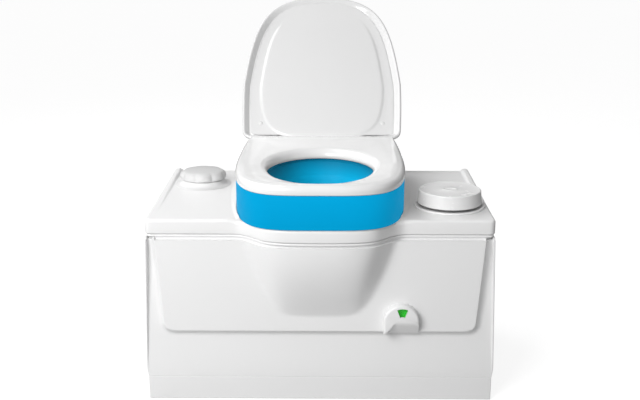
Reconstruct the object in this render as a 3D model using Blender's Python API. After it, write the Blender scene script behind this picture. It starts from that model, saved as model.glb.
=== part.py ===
"""Bench-type cassette toilet with a seat riser, for a caravan or motorhome.

Metres, +Z up. The origin is on the floor, under the middle of the bench; the front faces -Y.
"""

import bmesh
import bpy
from math import cos, pi, radians, sin
from mathutils import Vector

# General
GAP = 0.0003
WALL = 0.004
THIN_WALL = 0.003
ROUND_SIDES = 24
SMALL_SIDES = 12
SMOOTH_ANGLE = radians(35)
CUT_MARGIN = 0.01

# Bench casing
BENCH_WIDTH = 0.7112
BENCH_DEPTH = 0.42
BENCH_TOP = 0.3974
APRON_LOW = 0.3668
TRIM_LOW = 0.3601
TRIM_INSET = 0.002
NOSE_REACH = 0.0605
NOSE_HALF_WIDTH = 0.172
EDGE_ROUND = 0.003
TOP_PLATE = 0.0077
LEDGE_TOP = 0.3937
PANEL_FRONT = -BENCH_DEPTH / 2
PANEL_TOP = TRIM_LOW - GAP
PANEL_LOW_HALF_WIDTH = 0.365
PANEL_WIDEST_Z = 0.07
PLINTH_TOP = 0.052
PLINTH_HALF_WIDTH = 0.362
FIELD_TOP_HALF_WIDTH = 0.336
FIELD_LOW_HALF_WIDTH = 0.321
FIELD_LOW = 0.158
FIELD_RAISE = 0.006
FIELD_EDGE = 0.004
BULGE_LOW = 0.165
BULGE_LOW_HALF_WIDTH = 0.10
PANEL_COLUMNS = 18
PANEL_ROWS = 8
TRAY_HEIGHT = 0.008
RAIL_X = 0.16
RAIL_WIDTH = 0.012
RAIL_TOP = 0.0215

# Seat group
SEAT_HALF_WIDTH = 0.179
SEAT_FRONT = -0.272
SEAT_SHOULDER = (0.63, 1.05, -0.012)
LEDGE_WIDTH = 0.016
SEAT_BACK = 0.184
HOLE_HALF_WIDTH = 0.112
HOLE_FRONT = -0.225
HOLE_BACK = 0.045
HOLE_CENTRE = -0.085
RISER_HEIGHT = 0.070
RISER_BOTTOM = LEDGE_TOP + GAP
RISER_TOP = RISER_BOTTOM + RISER_HEIGHT
SEAT_BOTTOM = RISER_TOP + 0.0025
SEAT_TOP = 0.489
LID_HALF_WIDTH = 0.198
LID_FRONT = -0.276
LID_SHOULDER = (0.765, 0.904, 0.084)
LID_BACK = 0.178
LID_BOTTOM = 0.4915
LID_TOP = 0.508
LID_FLANK = 0.017
LID_DISH = 0.012
LID_OPEN = radians(136)
HINGE_Y = 0.192
HINGE_Z = 0.476
HINGE_PIN_RADIUS = 0.003
HINGE_CLEARANCE = 0.0002
HINGE_BLOCK_X = (0.060, 0.0745)
SEAT_LUG_X = (0.075, 0.0875)
LID_LUG_X = (0.088, 0.1005)

# Bowl and flush water
OUTLET = (0.0, -0.05)
OUTLET_RADIUS = 0.044
BOWL_BOTTOM = 0.2048
BOWL_FLANGE = 0.005
NOZZLE_Z = 0.355
TANK_LOW = (-0.345, -0.185, TRAY_HEIGHT + GAP)
TANK_HIGH = (-0.222, 0.185, 0.335)
FILLER = (-0.272, 0.080)
NECK_BORE = 0.024
NECK_TOP = 0.411
CAP_TOP = 0.436
CAP_RADIUS = 0.0505
CAP_LOBES = 8
PUMP = (-0.285, -0.10)
HOSE_RADIUS = 0.006

# Control knob and its gear train
KNOB = (0.274, -0.098)
KNOB_RADIUS = 0.068
KNOB_TOP_RADIUS = 0.061
KNOB_TOP = 0.4335
KNOB_RING_RADIUS = 0.071
SHAFT_RADIUS = 0.006
GEAR_MODULE = 0.004125
KNOB_TEETH = 16
DRIVE_TEETH = 32
GEAR_LOW = 0.222
GEAR_HIGH = 0.230
DRIVE = (KNOB[0] - GEAR_MODULE * (KNOB_TEETH + DRIVE_TEETH) / 2, KNOB[1])
TONGUE = (0.004, 0.020)
TONGUE_LOW = 0.1972
BRACKET_LOW = 0.262

# Level indicator
HOOD = (0.168, 0.186)
HOOD_RADIUS = 0.036
HOOD_LOW = 0.152
HOOD_BACK = PANEL_FRONT - FIELD_RAISE - GAP
HOOD_DEPTH = 0.018
WINDOW_TOP = 0.206
WINDOW_LOW = 0.186
WINDOW_X = 0.1715
FLAG_RADIUS = 0.029

# Cassette
CASSETTE_HALF_WIDTH = 0.200
CASSETTE_FRONT = -0.165
CASSETTE_BACK = 0.195
CASSETTE_BOTTOM = RAIL_TOP + GAP
CASSETTE_SPLIT = 0.120
CASSETTE_TOP = 0.186
NOTCH_BACK = -0.118
NOTCH_TOP = 0.075
VALVE_PLATE_TOP = 0.1893
BLADE_LOW = 0.1896
BLADE_HIGH = 0.1916
BLADE_RADIUS = 0.052
HUB_RADIUS = 0.013
HUB_TOP = 0.2035
SPOUT = (0.165, 0.150)
SPOUT_RADIUS = 0.022
SPOUT_BEND = 0.027
SPOUT_SIDES = 16
SPOUT_END = 0.05
VENT = (-0.12, 0.12)
FLOAT_X = -0.12
FLOAT_PIVOT = (0.10, 0.165)
FLOAT_ARM = 0.13
FLOAT_DROP = radians(45)
FLOAT_RADIUS = 0.019
WHEEL_CENTRE = (-0.1425, 0.0465)
WHEEL_RADIUS = 0.0225
WHEEL_X = (0.178, 0.198)
AXLE_RADIUS = 0.004
CARRY_PIVOT = (0.2005, 0.150)
CARRY_HALF_WIDTH = 0.070
CARRY_DROP = 0.052
PULL_Z = 0.172
PULL_X = 0.207
PULL_Y = (-0.10, 0.2035)
PULL_RADIUS = 0.004


# Geometry helpers


def bezier(start, start_pull, end_pull, end, steps):
    """Points on a cubic curve, without its last one."""
    points = []
    for i in range(steps):
        t = i / steps
        weights = ((1 - t) ** 3, 3 * t * (1 - t) ** 2, 3 * t * t * (1 - t), t**3)
        controls = (start, start_pull, end_pull, end)
        points.append(tuple(sum(w * c[k] for w, c in zip(weights, controls)) for k in (0, 1)))
    return points


def mirrored(right_half):
    """A closed outline from its right half, which starts and ends on the middle line."""
    left_half = [(-x, y) for x, y in reversed(right_half[1:-1])]
    return right_half + left_half


def offset(outline, inset):
    """The outline moved inwards, with mitred corners. It runs anticlockwise."""
    moved = []
    count = len(outline)
    for i in range(count):
        before, here, after = (Vector(outline[(i + k) % count]) for k in (-1, 0, 1))
        first, second = (here - before).normalized(), (after - here).normalized()
        normals = Vector((-first.y, first.x)), Vector((-second.y, second.x))
        step = (normals[0] + normals[1]) * inset / (1 + normals[0].dot(normals[1]))
        moved.append(tuple(here + step))
    return moved


def egg(front, back, half_width, shoulder=SEAT_SHOULDER):
    """The rounded outline of the riser, seat and lid: full at the front, straight at the back."""
    widest = (half_width, 0.01)
    pull, second_pull, drop = shoulder
    start = (0, front), (pull * half_width, front)
    right = bezier(*start, (second_pull * half_width, front + drop), widest, 10)
    corner = (half_width * 0.975, back - 0.026)
    right += bezier(widest, (half_width, 0.06), (half_width * 0.992, back - 0.075), corner, 4)
    corner_end = (0.140, back)
    right += bezier(corner, (half_width * 0.966, back - 0.009), (half_width * 0.93, back), corner_end, 4)
    right += [corner_end, (0.07, back), (0, back)]
    return mirrored(right)


def oval(front, back, half_width, centre):
    """An oval with as many points as an egg, each in nearly the same direction."""
    points = []
    for x, y in egg(SEAT_FRONT, SEAT_BACK, SEAT_HALF_WIDTH):
        direction = Vector((x, y - centre)).normalized()
        reach = (centre - front) if direction.y < 0 else (back - centre)
        scale = 1 / ((direction.x / half_width) ** 2 + (direction.y / reach) ** 2) ** 0.5
        points.append((direction.x * scale, centre + direction.y * scale))
    return points


def blend(first, second, share):
    return [tuple(a + (b - a) * share for a, b in zip(p, q)) for p, q in zip(first, second)]


def circle(centre, radius, sides=ROUND_SIDES):
    angles = [2 * pi * i / sides for i in range(sides)]
    return [(centre[0] + radius * cos(a), centre[1] + radius * sin(a)) for a in angles]


def rectangle(low, high):
    return [(low[0], low[1]), (high[0], low[1]), (high[0], high[1]), (low[0], high[1])]


def placed(outline, axis, height):
    """A flat outline as 3D points, standing at this height along the axis."""
    if axis == "X":
        return [Vector((height, a, b)) for a, b in outline]
    if axis == "Y":
        return [Vector((a, height, b)) for a, b in outline]
    return [Vector((a, b, height)) for a, b in outline]


# Object helpers


def material(name, colour, roughness, metallic=0.0):
    found = bpy.data.materials.get(name)
    if found:
        return found
    made = bpy.data.materials.new(name)
    made.use_nodes = True
    shader = made.node_tree.nodes["Principled BSDF"]
    shader.inputs["Base Color"].default_value = (*colour, 1)
    shader.inputs["Roughness"].default_value = roughness
    shader.inputs["Metallic"].default_value = metallic
    return made


def white_plastic():
    return material("white_plastic", (0.86, 0.86, 0.85), 0.22)


def blue_plastic():
    return material("blue_plastic", (0.0, 0.36, 0.72), 0.30)


def grey_plastic():
    return material("grey_plastic", (0.30, 0.31, 0.32), 0.45)


def tank_plastic():
    return material("tank_plastic", (0.62, 0.64, 0.66), 0.40)


def rubber():
    return material("rubber", (0.03, 0.03, 0.03), 0.75)


def green_plastic():
    return material("green_plastic", (0.0, 0.52, 0.03), 0.30)


def clear_plastic():
    return material("clear_plastic", (0.90, 0.95, 0.92), 0.08)


def steel():
    return material("steel", (0.62, 0.62, 0.62), 0.30, 1.0)


def loft(name, rings, finish, origin=(0, 0, 0), closed=False):
    """One solid through rings of equally many points: capped at both ends, or closed into a loop."""
    shape = bmesh.new()
    rows = [[shape.verts.new(point - Vector(origin)) for point in ring] for ring in rings]
    count = len(rows[0])
    pairs = list(zip(rows, rows[1:]))
    if closed:
        pairs.append((rows[-1], rows[0]))
    else:
        shape.faces.new(rows[0])
        shape.faces.new(rows[-1])
    for low, high in pairs:
        for i in range(count):
            j = (i + 1) % count
            shape.faces.new((low[i], low[j], high[j], high[i]))
    bmesh.ops.recalc_face_normals(shape, faces=shape.faces)
    mesh = bpy.data.meshes.new(name)
    shape.to_mesh(mesh)
    shape.free()
    mesh.shade_smooth()
    mesh.set_sharp_from_angle(angle=SMOOTH_ANGLE)
    piece = bpy.data.objects.new(name, mesh)
    piece.location = origin
    bpy.context.scene.collection.objects.link(piece)
    piece.data.materials.append(finish)
    return piece


def prism(name, outline, axis, low, high, finish, origin=(0, 0, 0)):
    return loft(name, [placed(outline, axis, low), placed(outline, axis, high)], finish, origin)


def box(name, low, high, finish, origin=(0, 0, 0)):
    return prism(name, rectangle(low[:2], high[:2]), "Z", low[2], high[2], finish, origin)


def turned(name, centre, axis, profile, finish, origin=(0, 0, 0), closed=False, sides=ROUND_SIDES):
    """A round piece about the axis, from (radius, height) pairs."""
    rings = [placed(circle(centre, radius, sides), axis, height) for radius, height in profile]
    return loft(name, rings, finish, origin, closed)


def hidden(helper):
    helper.hide_render = True
    helper.display_type = "WIRE"
    return helper


def combine(piece, helper, operation):
    modifier = piece.modifiers.new(helper.name, "BOOLEAN")
    modifier.object = hidden(helper)
    modifier.operation = operation
    modifier.solver = "EXACT"


def cut(piece, helper):
    combine(piece, helper, "DIFFERENCE")


def join(piece, helper):
    combine(piece, helper, "UNION")


def round_hole(piece, name, centre, axis, radius, low, high, origin=(0, 0, 0), sides=ROUND_SIDES):
    profile = [(radius, low), (radius, high)]
    cut(piece, turned(name, centre, axis, profile, grey_plastic(), origin, sides=sides))


def rod(name, points, radius, finish, origin=(0, 0, 0), resolution=2):
    """A bent rod or hose along these points."""
    path = bpy.data.curves.new(name, "CURVE")
    path.dimensions = "3D"
    path.bevel_depth = radius
    path.bevel_resolution = resolution
    path.use_fill_caps = True
    spline = path.splines.new("POLY")
    spline.points.add(len(points) - 1)
    for knot, point in zip(spline.points, points):
        knot.co = (*(Vector(point) - Vector(origin)), 1)
    piece = bpy.data.objects.new(name, path)
    piece.location = origin
    bpy.context.scene.collection.objects.link(piece)
    path.materials.append(finish)
    return piece


def arc(centre, radius, start, end, steps):
    """Points of a plane arc, both ends included."""
    angles = [start + (end - start) * i / steps for i in range(steps + 1)]
    return [(centre[0] + radius * cos(a), centre[1] + radius * sin(a)) for a in angles]


# Bench casing


def bench_outline():
    front = PANEL_FRONT - NOSE_REACH
    shoulder = (0.122, PANEL_FRONT - 0.036)
    right = bezier((0, front), (0.080, front), (0.104, PANEL_FRONT - 0.054), shoulder, 7)
    foot = (NOSE_HALF_WIDTH, PANEL_FRONT)
    right += bezier(shoulder, (0.142, PANEL_FRONT - 0.016), (0.156, PANEL_FRONT - 0.002), foot, 5)
    right += [foot, (BENCH_WIDTH / 2, PANEL_FRONT), (BENCH_WIDTH / 2, -PANEL_FRONT), (0, -PANEL_FRONT)]
    return mirrored(right)


def make_bench_top():
    outline = bench_outline()
    inside = offset(outline, WALL)
    rings = [
        placed(inside, "Z", BENCH_TOP - TOP_PLATE),
        placed(inside, "Z", APRON_LOW),
        placed(outline, "Z", APRON_LOW),
        placed(outline, "Z", BENCH_TOP - EDGE_ROUND),
        placed(offset(outline, EDGE_ROUND / 3), "Z", BENCH_TOP - EDGE_ROUND / 3),
        placed(offset(outline, EDGE_ROUND), "Z", BENCH_TOP),
    ]
    top = loft("bench_top", rings, white_plastic())
    low, high = BENCH_TOP - TOP_PLATE - CUT_MARGIN, BENCH_TOP + CUT_MARGIN
    riser = egg(SEAT_FRONT, SEAT_BACK, SEAT_HALF_WIDTH)
    cut(top, prism("riser_ledge", offset(riser, -0.001), "Z", LEDGE_TOP, high, grey_plastic()))
    cut(top, prism("bowl_opening", offset(riser, LEDGE_WIDTH), "Z", low, high, grey_plastic()))
    round_hole(top, "knob_shaft_hole", KNOB, "Z", SHAFT_RADIUS + GAP, low, high)
    round_hole(top, "filler_hole", FILLER, "Z", NECK_BORE + WALL, low, high)


def make_edge_trim():
    outer = offset(bench_outline(), TRIM_INSET)
    inner = offset(bench_outline(), TRIM_INSET + WALL)
    heights = (TRIM_LOW, APRON_LOW - GAP)
    rings = [placed(outer, "Z", z) for z in heights] + [placed(inner, "Z", z) for z in reversed(heights)]
    loft("edge_trim", rings, white_plastic(), closed=True)


def panel_half_width(z):
    top_share = (z - PANEL_WIDEST_Z) / (PANEL_TOP - PANEL_WIDEST_Z)
    if top_share > 0:
        return PANEL_LOW_HALF_WIDTH + (BENCH_WIDTH / 2 - PANEL_LOW_HALF_WIDTH) * top_share
    low_share = (z - PLINTH_TOP) / (PANEL_WIDEST_Z - PLINTH_TOP)
    return PLINTH_HALF_WIDTH + (PANEL_LOW_HALF_WIDTH - PLINTH_HALF_WIDTH) * low_share


def field_half_width(z):
    share = (z - FIELD_LOW) / (PANEL_TOP - FIELD_LOW)
    return FIELD_LOW_HALF_WIDTH + (FIELD_TOP_HALF_WIDTH - FIELD_LOW_HALF_WIDTH) * share


def smooth_step(t):
    t = min(1, max(0, t))
    return t * t * (3 - 2 * t)


def bulge(x, z):
    """How far the housing of the bowl stands out of the front panel."""
    share = (z - BULGE_LOW) / (PANEL_TOP - BULGE_LOW)
    if share <= 0:
        return 0
    half_width = BULGE_LOW_HALF_WIDTH + (NOSE_HALF_WIDTH - BULGE_LOW_HALF_WIDTH) * share
    reach = (NOSE_REACH - TRIM_INSET * 2) * sin(share * pi / 2)
    return reach * smooth_step((1 - abs(x) / half_width) * 2)


def panel_rings():
    """Front and back points of the panel, row by row from the bottom."""
    heights = [PLINTH_TOP + GAP, PANEL_WIDEST_Z, FIELD_LOW - FIELD_EDGE, FIELD_LOW]
    heights += [FIELD_LOW + (PANEL_TOP - FIELD_LOW) * i / PANEL_ROWS for i in range(1, PANEL_ROWS + 1)]
    rings = []
    for z in heights:
        field = field_half_width(z)
        edge = panel_half_width(z)
        inner = [field * (2 * i / PANEL_COLUMNS - 1) for i in range(PANEL_COLUMNS + 1)]
        columns = [-edge, -field - FIELD_EDGE, *inner, field + FIELD_EDGE, edge]
        front = []
        for x in columns:
            raised = FIELD_RAISE if z >= FIELD_LOW and abs(x) <= field + GAP else 0
            front.append(Vector((x, PANEL_FRONT - max(raised, bulge(x, z)), z)))
        back = [point + Vector((0, WALL, 0)) for point in front]
        rings.append(front + back[::-1])
    return rings


def make_front_panel():
    loft("front_panel", panel_rings(), white_plastic())


def make_plinth():
    low = (-PLINTH_HALF_WIDTH, PANEL_FRONT, 0)
    box("plinth", low, (PLINTH_HALF_WIDTH, PANEL_FRONT + WALL, PLINTH_TOP - GAP), white_plastic())


def make_side_panels():
    outer = [(PLINTH_HALF_WIDTH, 0), (PLINTH_HALF_WIDTH, PLINTH_TOP)]
    outer += [(PANEL_LOW_HALF_WIDTH, PANEL_WIDEST_Z), (BENCH_WIDTH / 2, PANEL_TOP)]
    outline = outer + [(x - WALL, z) for x, z in reversed(outer)]
    reach = BENCH_DEPTH / 2 - WALL - GAP
    for side, sign in (("right", 1), ("left", -1)):
        mirrored_outline = [(x * sign, z) for x, z in outline]
        prism(f"side_panel_{side}", mirrored_outline, "Y", -reach, reach, white_plastic())


def make_rear_panel():
    right = [(PLINTH_HALF_WIDTH, 0), (PLINTH_HALF_WIDTH, PLINTH_TOP)]
    right += [(PANEL_LOW_HALF_WIDTH, PANEL_WIDEST_Z), (BENCH_WIDTH / 2, PANEL_TOP)]
    outline = right + [(-x, z) for x, z in reversed(right)]
    back = BENCH_DEPTH / 2
    panel = prism("rear_panel", outline, "Y", back - WALL, back, white_plastic())
    opening = rectangle((-0.230, TRAY_HEIGHT + 0.004), (0.230, 0.250))
    cut(panel, prism("service_opening", opening, "Y", back - CUT_MARGIN, back + CUT_MARGIN, grey_plastic()))


def make_base_tray():
    reach = BENCH_DEPTH / 2 - WALL - GAP * 2
    half_width = PLINTH_HALF_WIDTH - WALL - GAP
    tray = box("base_tray", (-half_width, -reach, 0), (half_width, reach, TRAY_HEIGHT), grey_plastic())
    for side, sign in (("right", 1), ("left", -1)):
        edges = sorted((sign * RAIL_X, sign * (RAIL_X + RAIL_WIDTH)))
        low = (edges[0], -reach + WALL, TRAY_HEIGHT / 2)
        join(tray, box(f"rail_{side}", low, (edges[1], reach - WALL, RAIL_TOP), grey_plastic()))


# Riser, seat and lid


def hole_outline():
    return oval(HOLE_FRONT, HOLE_BACK, HOLE_HALF_WIDTH, HOLE_CENTRE)


def make_seat_riser():
    outer = egg(SEAT_FRONT, SEAT_BACK, SEAT_HALF_WIDTH)
    hole = hole_outline()
    under = RISER_TOP - WALL
    funnel_end = RISER_BOTTOM - 0.012
    rings = [
        placed(outer, "Z", RISER_BOTTOM),
        placed(outer, "Z", RISER_TOP - 0.002),
        placed(offset(outer, 0.002), "Z", RISER_TOP),
        placed(offset(hole, -0.010), "Z", RISER_TOP),
        placed(offset(hole, -0.004), "Z", under),
        placed(offset(hole, 0.008), "Z", funnel_end),
        placed(offset(hole, 0.005), "Z", funnel_end),
        placed(offset(hole, -0.008), "Z", under - WALL),
        placed(offset(hole, -0.016), "Z", under),
        placed(offset(outer, WALL), "Z", under),
        placed(offset(outer, WALL), "Z", RISER_BOTTOM),
    ]
    loft("seat_riser", rings, blue_plastic(), closed=True)


def make_seat():
    outer = egg(SEAT_FRONT - 0.001, SEAT_BACK, SEAT_HALF_WIDTH + 0.001)
    hole = hole_outline()
    rings = [
        placed(offset(outer, 0.004), "Z", SEAT_BOTTOM),
        placed(outer, "Z", SEAT_BOTTOM + 0.005),
        placed(outer, "Z", SEAT_TOP - 0.008),
        placed(offset(outer, 0.003), "Z", SEAT_TOP - 0.002),
        placed(offset(outer, 0.009), "Z", SEAT_TOP),
        placed(offset(hole, -0.018), "Z", SEAT_TOP - 0.001),
        placed(offset(hole, -0.006), "Z", SEAT_TOP - 0.005),
        placed(hole, "Z", SEAT_TOP - 0.012),
        placed(offset(hole, -0.002), "Z", SEAT_BOTTOM),
    ]
    loft("seat", rings, white_plastic(), origin=(0, HINGE_Y, HINGE_Z), closed=True)


def opened(piece):
    """Turns a piece of the lid, made closed, back to where the lid stands open."""
    piece.rotation_euler.x = -LID_OPEN
    return piece


def make_lid():
    outer = egg(LID_FRONT, LID_BACK, LID_HALF_WIDTH, LID_SHOULDER)
    rings = [
        placed(offset(outer, LID_FLANK), "Z", LID_BOTTOM + LID_DISH),
        placed(offset(outer, 0.003), "Z", LID_BOTTOM),
        placed(offset(outer, 0.0005), "Z", LID_BOTTOM),
        placed(outer, "Z", LID_BOTTOM + 0.004),
        placed(offset(outer, 0.003), "Z", LID_TOP - 0.005),
        placed(offset(outer, 0.012), "Z", LID_TOP - 0.001),
        placed(offset(outer, 0.040), "Z", LID_TOP),
    ]
    opened(loft("lid", rings, white_plastic(), origin=(0, HINGE_Y, HINGE_Z)))


def hinge_lug(name, span, far_corners):
    """A lug about the hinge pin, reaching to the piece that it carries."""
    axis_centre = (HINGE_Y, HINGE_Z)
    eye = arc(axis_centre, 0.0065, radians(-70), radians(70), 6)
    outline = eye + far_corners
    origin = (0, HINGE_Y, HINGE_Z)
    lug = prism(name, outline, "X", span[0], span[1], white_plastic(), origin)
    bore = HINGE_PIN_RADIUS + HINGE_CLEARANCE
    low, high = min(span) - CUT_MARGIN, max(span) + CUT_MARGIN
    cutter_name = f"{name}_bore"
    profile = [(bore, low), (bore, high)]
    cutter = turned(cutter_name, axis_centre, "X", profile, steel(), origin, sides=SMALL_SIDES)
    cut(lug, cutter)
    return lug, cutter


def make_hinges():
    seat_corners = [(SEAT_BACK + GAP, SEAT_TOP - 0.006), (SEAT_BACK + GAP, SEAT_BOTTOM + 0.002)]
    lid_corners = [(LID_BACK + GAP, LID_TOP - 0.006), (LID_BACK + GAP, LID_BOTTOM + 0.002)]
    for side, sign in (("right", 1), ("left", -1)):
        hinge_lug(f"seat_lug_{side}", [sign * x for x in SEAT_LUG_X], seat_corners)
        lug, cutter = hinge_lug(f"lid_lug_{side}", [sign * x for x in LID_LUG_X], lid_corners)
        opened(lug)
        opened(cutter)
        make_hinge_block(side, sign)
        ends = (sign * (HINGE_BLOCK_X[0] + 0.002), sign * (LID_LUG_X[1] + 0.001))
        profile = [(HINGE_PIN_RADIUS, end) for end in ends]
        turned(f"hinge_pin_{side}", (HINGE_Y, HINGE_Z), "X", profile, steel(), sides=SMALL_SIDES)


def make_hinge_block(side, sign):
    """The fixed knuckle on a foot behind the riser, screwed to the bench top."""
    foot_back, foot_low = 0.2055, BENCH_TOP + GAP
    outline = [(SEAT_BACK + 0.0015, foot_low), (foot_back, foot_low), (foot_back, foot_low + 0.006)]
    outline += [(HINGE_Y + 0.0065, foot_low + 0.012)]
    outline += arc((HINGE_Y, HINGE_Z), 0.0065, 0, pi, 8) + [(SEAT_BACK + 0.0015, HINGE_Z - 0.004)]
    span = [sign * x for x in HINGE_BLOCK_X]
    block = prism(f"hinge_block_{side}", outline, "X", span[0], span[1], white_plastic())
    low, high = min(span) - CUT_MARGIN, max(span) + CUT_MARGIN
    name = f"hinge_block_{side}_bore"
    round_hole(block, name, (HINGE_Y, HINGE_Z), "X", HINGE_PIN_RADIUS + GAP, low, high, sides=SMALL_SIDES)


def make_bumpers():
    origin = (0, HINGE_Y, HINGE_Z)
    for side, sign in (("right", 1), ("left", -1)):
        seat_spot = (sign * 0.11, SEAT_FRONT + 0.05)
        profile = [(0.006, RISER_TOP + GAP), (0.006, SEAT_BOTTOM - GAP)]
        turned(f"seat_bumper_{side}", seat_spot, "Z", profile, rubber(), origin, sides=SMALL_SIDES)
        lid_spot = (sign * 0.150, SEAT_BACK - 0.060)
        profile = [(0.005, SEAT_TOP + GAP * 2), (0.005, LID_BOTTOM + LID_DISH - GAP)]
        name = f"lid_bumper_{side}"
        opened(turned(name, lid_spot, "Z", profile, white_plastic(), origin, sides=SMALL_SIDES))


# Bowl and flush water


def make_bowl():
    rim = hole_outline()
    flange = offset(egg(SEAT_FRONT, SEAT_BACK, SEAT_HALF_WIDTH), LEDGE_WIDTH * 0.7)
    outlet_front, outlet_back = OUTLET[1] - OUTLET_RADIUS, OUTLET[1] + OUTLET_RADIUS
    outlet = oval(outlet_front, outlet_back, OUTLET_RADIUS, OUTLET[1])
    top = BENCH_TOP - TOP_PLATE - GAP
    inside = [(0.0, top), (0.05, 0.350), (0.25, 0.300), (0.60, 0.250), (0.92, 0.222), (1.0, BOWL_BOTTOM)]
    wide_rim = offset(rim, -0.012)
    inner = [placed(blend(wide_rim, outlet, share), "Z", z) for share, z in inside]
    outer = [placed(offset(blend(wide_rim, outlet, share), -WALL), "Z", z) for share, z in inside[1:]]
    shelf = top - BOWL_FLANGE
    rings = inner + outer[::-1]
    rings.append(placed(offset(wide_rim, -WALL), "Z", shelf))
    rings += [placed(flange, "Z", shelf), placed(flange, "Z", top)]
    bowl = loft("bowl", rings, white_plastic(), closed=True)
    round_hole(bowl, "nozzle_hole", (OUTLET[0], NOZZLE_Z), "Y", 0.0085, 0.02, 0.12, sides=SMALL_SIDES)


def make_bowl_seal():
    outer, inner = OUTLET_RADIUS + 0.013, OUTLET_RADIUS
    low, high = BLADE_HIGH + 0.0009, BOWL_BOTTOM - GAP
    profile = [(outer, low), (outer, high), (inner, high), (inner, low)]
    turned("bowl_seal", OUTLET, "Z", profile, rubber(), closed=True)


def make_flush_nozzle():
    centre = (OUTLET[0], NOZZLE_Z)
    profile = [(0.0045, 0.036), (0.008, 0.040), (0.008, 0.078), (0.0055, 0.080), (0.0055, 0.088)]
    turned("flush_nozzle", centre, "Y", profile, grey_plastic(), sides=SMALL_SIDES)


def make_flush_tank():
    tank = box("flush_tank", TANK_LOW, TANK_HIGH, tank_plastic())
    inside_low = [a + THIN_WALL for a in TANK_LOW]
    inside_high = [a - THIN_WALL for a in TANK_HIGH]
    cut(tank, box("flush_tank_inside", inside_low, inside_high, tank_plastic()))
    low, high = TANK_HIGH[2] - CUT_MARGIN, TANK_HIGH[2] + CUT_MARGIN
    round_hole(tank, "tank_filler_hole", FILLER, "Z", NECK_BORE, low, high)
    round_hole(tank, "tank_hose_hole", PUMP, "Z", HOSE_RADIUS + 0.001, low, high, sides=SMALL_SIDES)


def make_flush_pump():
    floor = TANK_LOW[2] + THIN_WALL + GAP
    profile = [(0.024, floor), (0.024, floor + 0.012), (0.019, floor + 0.014), (0.019, floor + 0.058)]
    profile += [(0.007, floor + 0.062), (0.007, floor + 0.070)]
    turned("flush_pump", PUMP, "Z", profile, grey_plastic(), sides=16)


def hose_route():
    """Up out of the tank, round behind the bowl and into its nozzle."""
    start = Vector((*PUMP, TANK_LOW[2] + THIN_WALL + 0.0706))
    stations = [start, Vector((*PUMP, 0.20)), Vector((*PUMP, 0.336)), Vector((-0.277, -0.085, 0.356))]
    stations += [Vector((-0.255, -0.04, 0.361)), Vector((-0.215, 0.05, 0.360))]
    stations += [Vector((-0.14, 0.115, 0.357)), Vector((-0.06, 0.145, NOZZLE_Z))]
    stations.append(Vector((-0.01, 0.132, NOZZLE_Z)))
    stations += [Vector((0, 0.105, NOZZLE_Z)), Vector((0, 0.0885, NOZZLE_Z))]
    return smooth_path(stations, 3)


def make_flush_hose():
    rod("flush_hose", hose_route(), HOSE_RADIUS, grey_plastic())


def smooth_path(stations, steps):
    """A Catmull-Rom curve through the stations."""
    ends = [2 * stations[0] - stations[1], 2 * stations[-1] - stations[-2]]
    knots = [ends[0], *stations, ends[1]]
    points = []
    for a, b, c, d in zip(knots, knots[1:], knots[2:], knots[3:]):
        for i in range(steps):
            t = i / steps
            line = 2 * b + (c - a) * t + (2 * a - 5 * b + 4 * c - d) * t**2
            points.append((line + (3 * b - a - 3 * c + d) * t**3) / 2)
    return points + [stations[-1]]


def make_filler_neck():
    low = TANK_HIGH[2] + GAP
    foot = BENCH_TOP + GAP
    tube = NECK_BORE + WALL - 0.001
    profile = [
        (tube + 0.004, low),
        (tube + 0.004, low + 0.004),
        (tube, low + 0.004),
        (tube, foot),
        (0.0475, foot),
        (0.0475, foot + 0.003),
        (0.0435, NECK_TOP - 0.003),
        (0.042, NECK_TOP),
        (NECK_BORE, NECK_TOP),
        (NECK_BORE, low),
    ]
    turned("filler_neck", FILLER, "Z", profile, white_plastic(), closed=True)


def lobed_outline(radius, depth, sides=48):
    points = []
    for i in range(sides):
        angle = 2 * pi * i / sides
        reach = radius - depth * (0.5 - 0.5 * cos(CAP_LOBES * angle))
        points.append((FILLER[0] + reach * cos(angle), FILLER[1] + reach * sin(angle)))
    return points


def make_filler_cap():
    low = NECK_TOP + GAP
    skirt_inside = circle(FILLER, 0.044, 48)
    plug = circle(FILLER, NECK_BORE - 0.0065, 48)
    ceiling = CAP_TOP - WALL
    rings = [
        placed(plug, "Z", NECK_TOP - 0.012),
        placed(plug, "Z", ceiling),
        placed(skirt_inside, "Z", ceiling),
        placed(skirt_inside, "Z", low),
        placed(lobed_outline(CAP_RADIUS - 0.001, 0.003), "Z", low),
        placed(lobed_outline(CAP_RADIUS, 0.004), "Z", low + 0.003),
        placed(lobed_outline(CAP_RADIUS - 0.001, 0.004), "Z", CAP_TOP - 0.008),
        placed(circle(FILLER, CAP_RADIUS - 0.010, 48), "Z", CAP_TOP - 0.002),
        placed(circle(FILLER, CAP_RADIUS - 0.025, 48), "Z", CAP_TOP),
    ]
    loft("filler_cap", rings, white_plastic(), origin=(*FILLER, NECK_TOP))


def make_cap_seal():
    outer, inner = NECK_BORE - GAP, NECK_BORE - 0.0065 + GAP
    low, high = NECK_TOP - 0.008, NECK_TOP - 0.004
    profile = [(outer, low), (outer, high), (inner, high), (inner, low)]
    turned("cap_seal", FILLER, "Z", profile, rubber(), (*FILLER, NECK_TOP), closed=True)


# Control knob and gear train


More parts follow.
